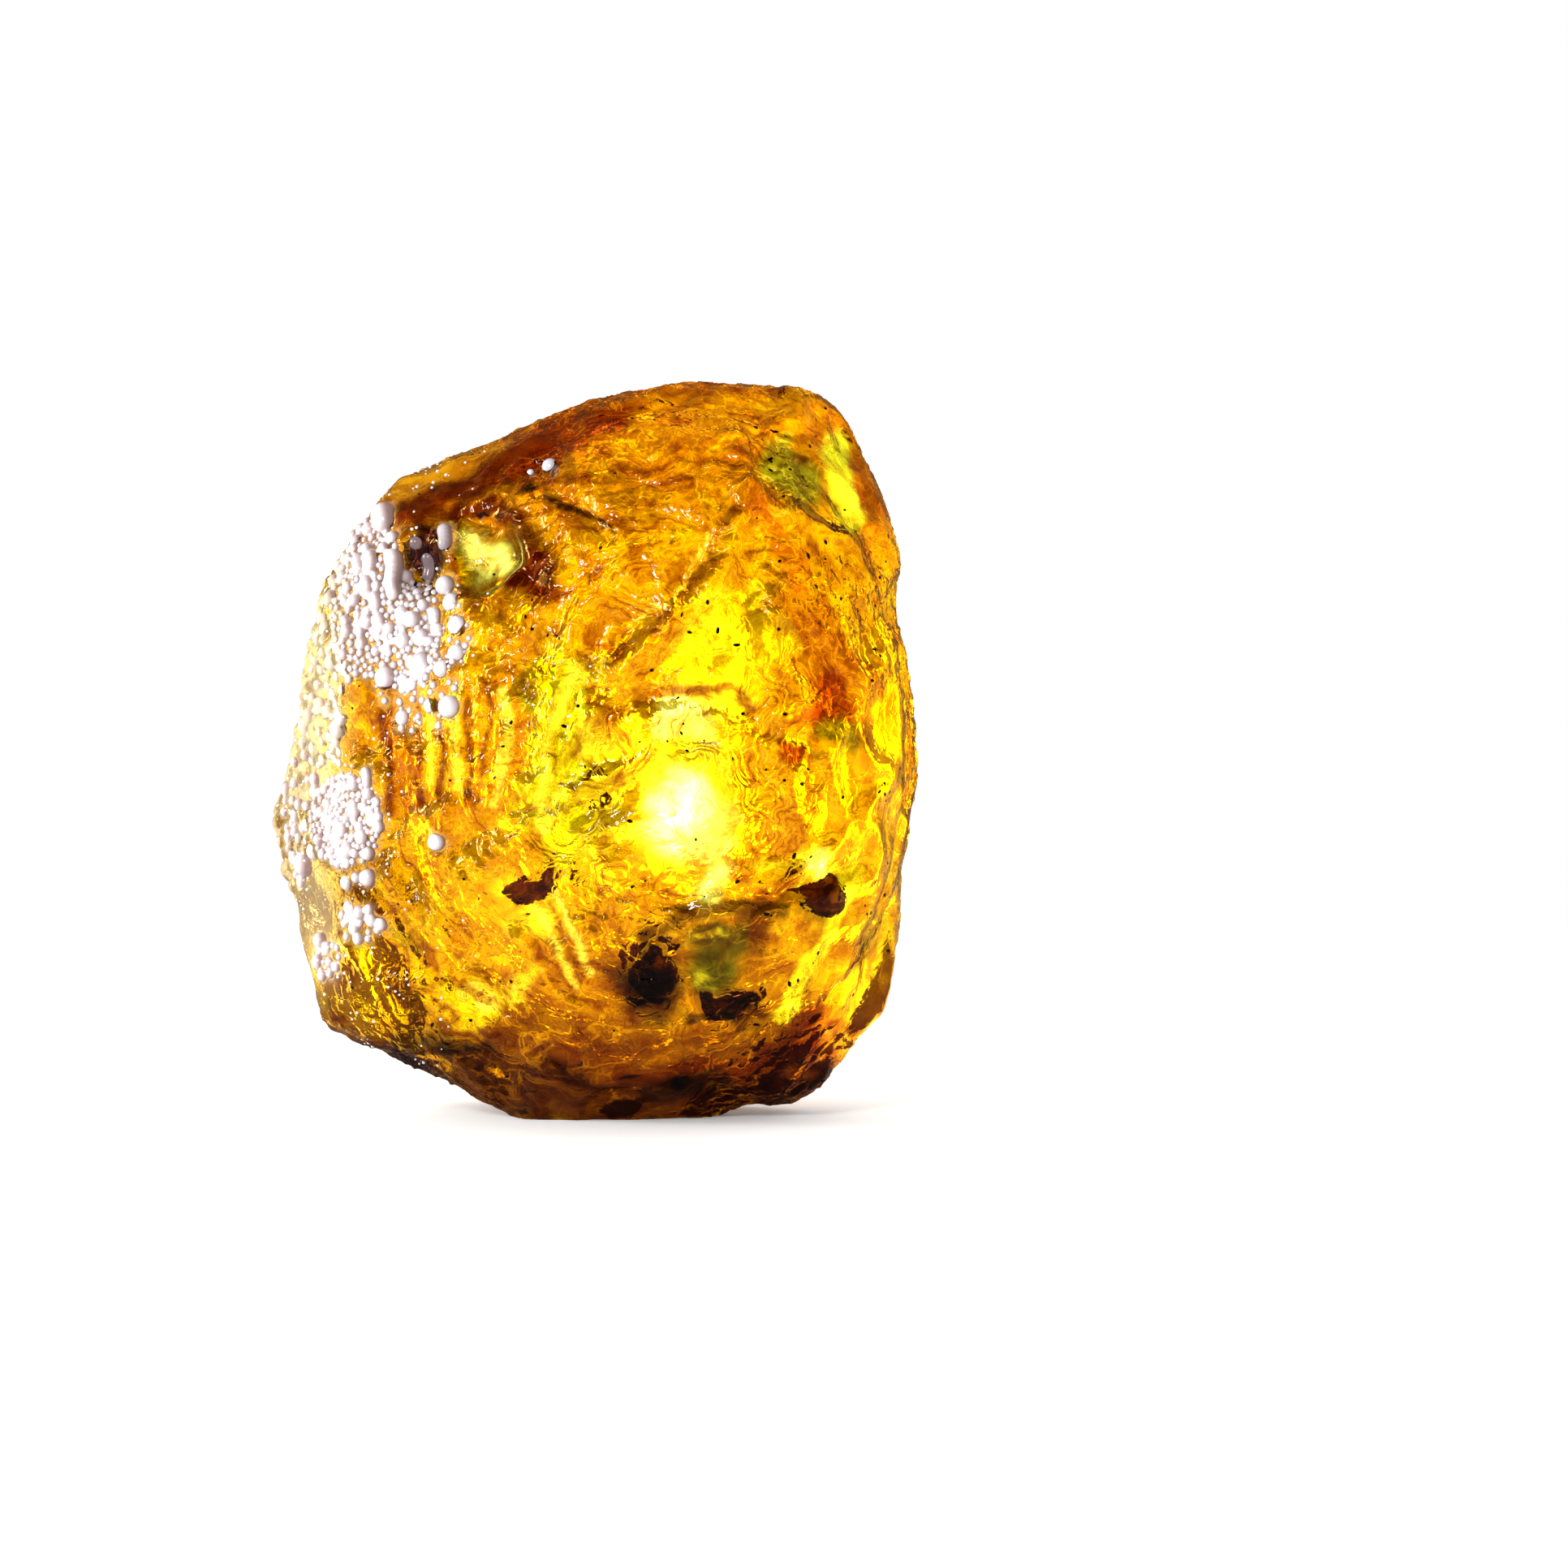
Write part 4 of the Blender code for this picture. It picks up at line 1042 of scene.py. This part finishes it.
def pearl_colour(middle, chance):
    x, z = middle.x, middle.z
    off = math.hypot((x - SHADED_POCKET[0]) / SHADED_POCKET_SIZE[0], (z - SHADED_POCKET[1]) / SHADED_POCKET_SIZE[1])
    # Painted shade: pearls in the pocket beside the bowl take the dark colour, and elsewhere a few are darker at
    # random.
    shade = 0.9 * float(smooth_step(1.2, 0.5, off))
    cream = float(smooth_step(-15.2, -18.0, x)) * float(smooth_step(20.0, 26.0, z))
    colour = np.array(linear(PEARL))
    colour += (np.array(linear(PEARL_CREAM)) - colour) * cream
    return colour + (np.array(linear(PEARL_SHADE)) - colour) * max(shade, 0.3 * chance.random() ** 3)


def milky_colours_and_foot_shade(points, places, colours):
    """The colour of the nearest pearl on its top, darkening low on its sides to a warm amber colour: painted shade
    where it meets the skin and its neighbours.
    """
    tree = tree_of(places)
    foot_shade = np.array(linear(PEARL_FOOT_SHADE))
    found = np.empty((len(points), 4))
    for i, point in enumerate(points):
        near = tree.find_n(point, 4)
        _, nearest, _ = min(near, key=lambda at: at[2] - places[at[1]][1])
        middle, radius = places[nearest]
        outward = Vector((middle.x / 22, middle.y / 15, 0)).normalized()
        top = (Vector(point) - middle).dot(outward) / radius
        share = min(max((top - 0.05) / 0.65, 0), 1)
        found[i] = foot_shade + (colours[nearest] - foot_shade) * share
    return found


def pearl_material():
    """Resin gone milky: white from within, and still glossy outside."""
    material, tree, shader = new_material("weathered resin, pearly")
    colour = add_node(tree, "ShaderNodeAttribute", attribute_name="colour").outputs["Color"]
    tree.links.new(colour, shader.inputs["Base Color"])
    shader.inputs["Roughness"].default_value = 0.30
    shader.inputs["IOR"].default_value = AMBER_IOR
    shader.inputs["Transmission Weight"].default_value = 0.25
    shader.inputs["Coat Weight"].default_value = 1.0
    shader.inputs["Coat Roughness"].default_value = 0.10
    return material


pearly = pearl_material()
chance = random.Random(KNOB_SEED)
colours = [pearl_colour(middle, chance) for middle, _ in pearls]
for name, subdivisions, is_kept in (("pearly_knobs", 4, lambda r: r >= SMALL), ("small_knobs", 2, lambda r: r < SMALL)):
    kept = [i for i, (_, radius) in enumerate(pearls) if is_kept(radius)]
    places = [pearls[i] for i in kept]
    beads = balls_at(name, places, subdivisions)
    if subdivisions > 2:
        fuse(beads, PEARL_VOXEL)
        smoothing = beads.modifiers.new("soft joints", "SMOOTH")
        smoothing.factor, smoothing.iterations = 0.5, 3
        with_modifiers_applied(beads)
    store_attribute(beads.data, "colour", milky_colours_and_foot_shade(read_points(beads.data), places, [colours[i] for i in kept]))
    beads.data.shade_smooth()
    beads.data.materials.clear()
    beads.data.materials.append(pearly)
    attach(beads, "root")
    print(name + ":", len(kept), "balls,", count_triangles(beads.data), "triangles")

# %% [markdown]
# ## Specks and pin beads
#
# Dust from the bark was caught just under the skin, as dark specks a fifth of a millimetre
# across. Round the crust the smallest knobs are no larger than pin heads, and they are
# coloured pure white as painted glints. Both are scattered on the skin by one Geometry
# Nodes tree, which reads from an attribute where they lie, and gives each its own size and
# stretch.

# %% Specks and pin beads


def scatter_tree():
    """Small lumps on the faces, as dense as the attribute 'where' says."""
    kinds = {"Per square metre": "NodeSocketFloat", "Smallest": "NodeSocketFloat", "Largest": "NodeSocketFloat"}
    kinds |= {"Sunk": "NodeSocketFloat", "Longest": "NodeSocketFloat", "Seed": "NodeSocketInt"}
    kinds |= {"Material": "NodeSocketMaterial"}
    tree, given, result = new_tree("scattered lumps", kinds)
    size = given.outputs
    where = add_node(tree, "GeometryNodeInputNamedAttribute", {"Name": "where"}).outputs[0]
    density = math_node(tree, "MULTIPLY", where, size["Per square metre"])
    inputs = {"Mesh": given.outputs[0], "Density": density, "Seed": size["Seed"]}
    spread = add_node(tree, "GeometryNodeDistributePointsOnFaces", inputs).outputs
    sunk = vector_node(tree, "SCALE", a=spread["Normal"], scale=math_node(tree, "MULTIPLY", size["Sunk"], -1.0))
    moved = add_node(tree, "GeometryNodeSetPosition", {"Geometry": spread["Points"], "Offset": sunk})
    lump = add_node(tree, "GeometryNodeMeshIcoSphere", {"Radius": 1.0, "Subdivisions": 2})
    random_size = add_node(tree, "FunctionNodeRandomValue", {2: size["Smallest"], 3: size["Largest"], 8: size["Seed"]})
    stretch = add_node(tree, "FunctionNodeRandomValue", {2: 1.0, 3: size["Longest"], 8: 5})
    longer = math_node(tree, "MULTIPLY", random_size.outputs[1], stretch.outputs[1])
    inputs = {0: random_size.outputs[1], 1: random_size.outputs[1], 2: longer}
    scale = add_node(tree, "ShaderNodeCombineXYZ", inputs).outputs[0]
    turn = add_node(tree, "FunctionNodeRandomValue", {0: (0, 0, 0), 1: (6.3, 6.3, 6.3), 8: 3}, data_type="FLOAT_VECTOR")
    inputs = {"Points": moved.outputs[0], "Instance": lump.outputs[0], "Scale": scale, "Rotation": turn.outputs[0]}
    lumps = add_node(tree, "GeometryNodeInstanceOnPoints", inputs)
    real = add_node(tree, "GeometryNodeRealizeInstances", {0: lumps.outputs[0]})
    dressed = add_node(tree, "GeometryNodeSetMaterial", {"Geometry": real.outputs[0], "Material": size["Material"]})
    tree.links.new(dressed.outputs[0], result.inputs[0])
    return tree


def scattered(name, where, values):
    """The tree run on a bare copy of the amber, so that only the lumps are left."""
    store_attribute(amber.data, "where", where)
    piece = new_object(name, amber.data.copy())
    apply_tree(piece, scatter_tree(), values)
    amber.data.attributes.remove(amber.data.attributes["where"])
    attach(piece, "root")
    print(name + ":", count_triangles(piece.data), "triangles")
    return piece


def dust_material():
    material, tree, shader = new_material("bark dust")
    shader.inputs["Base Color"].default_value = linear("#2A1206")
    shader.inputs["Roughness"].default_value = 0.8
    return material


points, normals = read_points(amber.data), read_normals(amber.data)
front = smooth_step(0.3, -0.3, normals[:, DEEP])
right = 0.25 + 0.75 * smooth_step(2.0, 14.0, points[:, ACROSS])
grouped = np.array([noise.noise(Vector(point) / 3.5) for point in points])
dusty = (0.3 + 0.7 * front * right) * smooth_step(-0.1, 0.35, grouped)
specks = scattered("specks", dusty, {
    "Per square metre": 380_000.0,
    "Smallest": 0.045 * MM,
    "Largest": 0.13 * MM,
    "Sunk": 0.16 * MM,
    "Longest": 2.4,
    "Seed": 4,
    "Material": dust_material(),
})
grouped = np.array([noise.noise(Vector(point) / 2.0) for point in points])
beside = smooth_step(-5.0, -13.0, points[:, ACROSS]) * front * smooth_step(-0.2, 0.3, grouped)
pin_glints = scattered("white_pin_glints", beside, {
    "Per square metre": 700_000.0,
    "Smallest": 0.05 * MM,
    "Largest": 0.12 * MM,
    "Sunk": 0.0,
    "Longest": 1.0,
    "Seed": 9,
    "Material": pearly,
})
# Pure white: the pin beads are painted glints, tiny white dots where light would catch the smallest knobs.
store_attribute(pin_glints.data, "colour", np.tile(linear("#FFFFFF"), (len(pin_glints.data.vertices), 1)))

# %% [markdown]
# ## Bark
#
# Chips of bark stuck to the older resin, and the last run sealed them in. Each is a
# squared ball with dented sides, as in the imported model, and the flake is folded along its
# length as a shaving is. Here the mesh is finer, so that a Geometry Nodes tree can raise
# the fibres: noise stretched along the chip.

# %% Bark
BARK = {
    "bark_flake": ((-2.8, 16.4), (2.20, 0.50, 0.85), (14, -36, 8), 3, 0.55, 0.45),
    "bark_splinter": ((0.7, 21.5), (0.45, 0.40, 1.05), (0, 22, 0), 5, 0.0, 0.0),
    "bark_chunk_left": ((3.9, 11.1), (1.75, 1.20, 2.35), (0, 6, 15), 8, 0.0, 0.0),
    "bark_chunk_right": ((13.8, 15.6), (1.65, 1.00, 1.15), (12, 14, -10), 13, 0.0, 0.0),
    "bark_chunk_low": ((9.0, 9.3), (1.80, 0.90, 0.80), (0, -8, 10), 21, 0.0, 0.0),
}
PARTING_DEPTH, PARTING_TURN = -6.7, 6.4
BARK_SQUARENESS = 3.2
BARK_DENTS = 7
BARK_DENT_REACH = (0.62, 0.86)


def chip_mesh(name, half_sizes, seed, fold, curl):
    mesh = unit_ball(name, 5)
    chance = random.Random(seed)
    directions = read_points(mesh)
    chip = directions * ((np.abs(directions) ** BARK_SQUARENESS).sum(axis=1) ** (-1 / BARK_SQUARENESS))[:, None]
    for _ in range(BARK_DENTS):
        side = np.array(Vector([chance.uniform(-1, 1) for _ in range(3)]).normalized())
        past = chip @ side - chance.uniform(*BARK_DENT_REACH)
        chip = chip - np.outer(np.clip(past, 0, None), side)
    chip = chip * half_sizes
    chip[:, DEEP] += fold * np.abs(chip[:, UP]) / half_sizes[UP]
    chip[:, UP] += curl * (chip[:, ACROSS] / half_sizes[ACROSS]) ** 2
    set_points(mesh, chip)
    return mesh


def fibre_tree():
    """Fibres along the chip's own X axis, and the bark's colour stored with them."""
    kinds = {"Spacing": "NodeSocketFloat", "Stretch": "NodeSocketFloat", "Height": "NodeSocketFloat"}
    tree, given, result = new_tree("bark fibres", kinds | {"Material": "NodeSocketMaterial"})
    size = given.outputs
    place = add_node(tree, "GeometryNodeInputPosition").outputs[0]
    parts = add_node(tree, "ShaderNodeSeparateXYZ", {0: vector_node(tree, "SCALE", a=place, scale=1 / MM)}).outputs
    along = math_node(tree, "DIVIDE", parts[0], size["Stretch"])
    place = add_node(tree, "ShaderNodeCombineXYZ", {0: along, 1: parts[1], 2: parts[2]}).outputs[0]
    per_fibre = math_node(tree, "DIVIDE", 1.0, size["Spacing"])
    fibres = add_node(tree, "ShaderNodeTexNoise", {"Vector": place, "Scale": per_fibre, "Detail": 3.0}).outputs[0]
    high = math_node(tree, "MULTIPLY", math_node(tree, "SUBTRACT", fibres, 0.5), size["Height"])
    offset = vector_node(tree, "SCALE", a=add_node(tree, "GeometryNodeInputNormal").outputs[0], scale=high)
    stored = add_node(tree, "GeometryNodeStoreNamedAttribute", {"Geometry": given.outputs[0], "Name": "fibre"})
    tree.links.new(fibres, stored.inputs["Value"])
    raised = add_node(tree, "GeometryNodeSetPosition", {"Geometry": stored.outputs[0], "Offset": offset})
    dressed = add_node(tree, "GeometryNodeSetMaterial", {0: raised.outputs[0], "Material": size["Material"]})
    tree.links.new(dressed.outputs[0], result.inputs[0])
    return tree


def bark_material():
    """Old bark: red-brown fibres, nearly black between them, with a dull shine of resin."""
    material, tree, shader = new_material("old bark, soaked in resin")
    fibre = add_node(tree, "ShaderNodeAttribute", attribute_name="fibre").outputs["Fac"]
    colour = mix_colour(tree, remapped(tree, fibre, 0.38, 0.62), linear("#702008"), linear("#FF9858"))
    tree.links.new(colour, shader.inputs["Base Color"])
    shader.inputs["Roughness"].default_value = 0.5
    shader.inputs["Transmission Weight"].default_value = 0.4
    return material


FIBRES = {"Spacing": 0.35, "Stretch": 4.0, "Height": 0.25 * MM, "Material": bark_material()}
fibres = fibre_tree()
for name, ((x, z), half_sizes, turns, seed, fold, curl) in BARK.items():
    chip = apply_tree(new_object(name + "_chip", chip_mesh(name, half_sizes, seed, fold, curl)), fibres, FIBRES)
    depth = PARTING_DEPTH + x * math.tan(math.radians(PARTING_TURN))
    turned = Euler([math.radians(turn) for turn in turns]).to_matrix().to_4x4()
    chip.data.transform(Matrix.Translation(Vector((x, depth, z)) * MM) @ turned)
    chip.data.shade_smooth()
    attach(chip, "root")
    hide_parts(name)
    print(name + ":", count_triangles(chip.data), "triangles")

# %% [markdown]
# ## Floor and light
#
# Held against a bright background, amber glows. So the room is bright behind the lump and
# dim in front of it, which keeps the colours full, and a lamp at the left gives the knobs
# their glints. A small lamp stands close behind the lump and shines through it. The floor
# is pale and fades into the white background, as a paper sweep does.

# %% Stage
FLOOR_RADIUS = 400.0
FLOOR_FADES = (45.0, 230.0)
BRIGHT_BEHIND, DIM_IN_FRONT, SEEN_THROUGH = 3.6, 0.60, 1.05
SEEN_BY_GLOSS, SEEN_AT_RIM = 0.05, 0.06
WARM_BOUNCE = "#FFD070"


def mirrored_share(tree, paths):
    """1 for a ray that was mirrored by a glossy skin, and 0 for one that went through."""
    straight = math_node(tree, "SUBTRACT", 1.0, paths["Is Transmission Ray"])
    return math_node(tree, "MULTIPLY", paths["Is Glossy Ray"], straight)


def floor_material():
    """White paper, which ends in nothing far from the lump."""
    material, tree, shader = new_material("white paper sweep")
    paths = add_node(tree, "ShaderNodeLightPath").outputs
    # Painted shade in reflections: to a mirrored ray the paper is dark grey.
    paper = mix_colour(tree, mirrored_share(tree, paths), linear("#FAF8F5"), linear("#4A4844"))
    tree.links.new(paper, shader.inputs["Base Color"])
    shader.inputs["Roughness"].default_value = 0.7
    shader.inputs["Emission Color"].default_value = (1, 1, 1, 1)
    tree.links.new(math_node(tree, "MULTIPLY", paths["Is Camera Ray"], 0.12), shader.inputs["Emission Strength"])
    place = add_node(tree, "ShaderNodeTexCoord").outputs["Object"]
    off = vector_node(tree, "LENGTH", a=vector_node(tree, "SCALE", a=place, scale=1 / MM))
    near, far = FLOOR_FADES
    inputs = {"Value": off, 1: near, 2: far, 3: 1.0, 4: 0.0}
    faded = add_node(tree, "ShaderNodeMapRange", inputs, interpolation_type="SMOOTHSTEP").outputs[0]
    tree.links.new(faded, shader.inputs["Alpha"])
    return material


shell = bmesh.new()
bmesh.ops.create_circle(shell, cap_ends=True, segments=96, radius=FLOOR_RADIUS * MM)
floor_mesh = bpy.data.meshes.new("floor")
shell.to_mesh(floor_mesh)
shell.free()
floor = new_object("floor", floor_mesh)
floor.data.materials.append(floor_material())


def lobe(tree, direction, towards, sharpness, strength):
    aligned = vector_node(tree, "DOT_PRODUCT", a=direction, b=Vector(towards).normalized())
    aligned = math_node(tree, "POWER", math_node(tree, "MAXIMUM", aligned, 0.0), sharpness)
    return math_node(tree, "MULTIPLY", aligned, strength)


world = bpy.data.worlds.new("studio")
bpy.context.scene.world = world
world.use_nodes = True
tree = world.node_tree
room = tree.nodes["Background"]
direction = add_node(tree, "ShaderNodeTexCoord").outputs["Generated"]
parts = add_node(tree, "ShaderNodeSeparateXYZ", {0: direction}).outputs
paths = add_node(tree, "ShaderNodeLightPath").outputs
in_front = math_node(tree, "MULTIPLY_ADD", paths["Is Transmission Ray"], SEEN_THROUGH - DIM_IN_FRONT, DIM_IN_FRONT)
along = remapped(tree, parts["Y"], -0.35, 0.75, in_front, BRIGHT_BEHIND)
inputs = {"Value": parts["Z"], 1: 0.10, 2: 0.85, 3: 1.0, 4: 0.55}
light = math_node(tree, "MULTIPLY", along, add_node(tree, "ShaderNodeMapRange", inputs).outputs[0])
seen_share = remapped(tree, parts["Y"], 0.3, 0.95, SEEN_BY_GLOSS, SEEN_AT_RIM)
hidden = math_node(tree, "MULTIPLY", mirrored_share(tree, paths), math_node(tree, "SUBTRACT", 1.0, seen_share))
light = math_node(tree, "MULTIPLY", light, math_node(tree, "SUBTRACT", 1.0, hidden))
light = math_node(tree, "ADD", light, lobe(tree, direction, (-0.95, -0.10, 0.28), 150.0, 45.0))
tree.links.new(light, room.inputs["Strength"])
room_colour = mix_colour(tree, hidden, (1, 1, 1, 1), linear(WARM_BOUNCE))
tree.links.new(room_colour, room.inputs["Color"])
seen = add_node(tree, "ShaderNodeBackground", {"Color": (1, 1, 1, 1), "Strength": 1.0})
choice = add_node(tree, "ShaderNodeMixShader", {0: paths["Is Camera Ray"], 1: room.outputs[0], 2: seen.outputs[0]})
tree.links.new(choice.outputs[0], tree.nodes["World Output"].inputs["Surface"])


def area_lamp(name, at, towards, width, height, power):
    data = bpy.data.lights.new(name, "AREA")
    data.shape = "ELLIPSE"
    data.size, data.size_y = width * MM, height * MM
    data.energy = power
    lamp = bpy.data.objects.new(name, data)
    bpy.context.scene.collection.objects.link(lamp)
    lamp.location = Vector(at) * MM
    lamp.rotation_euler = (Vector(towards) - Vector(at)).to_track_quat("-Z", "Y").to_euler()
    lamp.visible_camera = False
    return lamp


GLOW_MIDDLE = (4.0, 20.0, 21.6)
GLOW_RADIUS = 14.0
# Each glow: middle (x, z) on the card, half sizes, strength.
GLOWS = [((-0.2, -0.2), (1.6, 1.9), 22.0), ((0.0, 4.0), (2.4, 5.4), 4.0)]


def glow_material():
    """A frosted lamp: brightest in its middle, and nothing at its rim."""
    material, tree, _ = new_material("frosted lamp")
    place = add_node(tree, "ShaderNodeTexCoord").outputs["Object"]
    parts = add_node(tree, "ShaderNodeSeparateXYZ", {0: vector_node(tree, "SCALE", a=place, scale=1 / MM)}).outputs
    total = 0.0
    for (x, z), (wide, high), strength in GLOWS:
        across = math_node(tree, "DIVIDE", math_node(tree, "SUBTRACT", parts[0], x), wide)
        up = math_node(tree, "DIVIDE", math_node(tree, "SUBTRACT", parts[2], z), high)
        off = math_node(tree, "MULTIPLY_ADD", across, across, math_node(tree, "MULTIPLY", up, up))
        total = math_node(tree, "ADD", total, remapped(tree, off, 2.2, 0.0, 0.0, strength))
    light = add_node(tree, "ShaderNodeEmission", {"Color": (1, 1, 1, 1), "Strength": total})
    clear = add_node(tree, "ShaderNodeBsdfTransparent")
    both = add_node(tree, "ShaderNodeAddShader", {0: light.outputs[0], 1: clear.outputs[0]})
    tree.links.new(both.outputs[0], tree.nodes["Material Output"].inputs["Surface"])
    return material


shell = bmesh.new()
bmesh.ops.create_circle(shell, cap_ends=True, segments=48, radius=GLOW_RADIUS * MM)
bmesh.ops.rotate(shell, verts=shell.verts, matrix=Matrix.Rotation(math.radians(90), 3, "X"))
glow_mesh = bpy.data.meshes.new("lamp behind")
shell.to_mesh(glow_mesh)
shell.free()
glow = new_object("lamp behind", glow_mesh)
glow.location = Vector(GLOW_MIDDLE) * MM
glow.data.materials.append(glow_material())
glow.visible_camera = glow.visible_diffuse = glow.visible_glossy = False

softbox = area_lamp("softbox", (-60.0, -125.0, 75.0), (-12.0, -6.0, 26.0), 50.0, 50.0, 0.09)
side_softbox = area_lamp("softbox at the left", (-120.0, -20.0, 60.0), (-16.0, 0.0, 26.0), 60.0, 60.0, 0.055)
for lamp in (softbox, side_softbox):
    lamp.visible_glossy = False
    lamp.visible_transmission = False
spark = area_lamp("spark", (-52.0, -135.0, 80.0), (-12.0, -6.0, 26.0), 34.0, 34.0, 0.060)
spark.visible_transmission = False
bpy.context.scene.cycles.sample_clamp_indirect = 60.0
bpy.context.scene.view_settings.view_transform = "Standard"
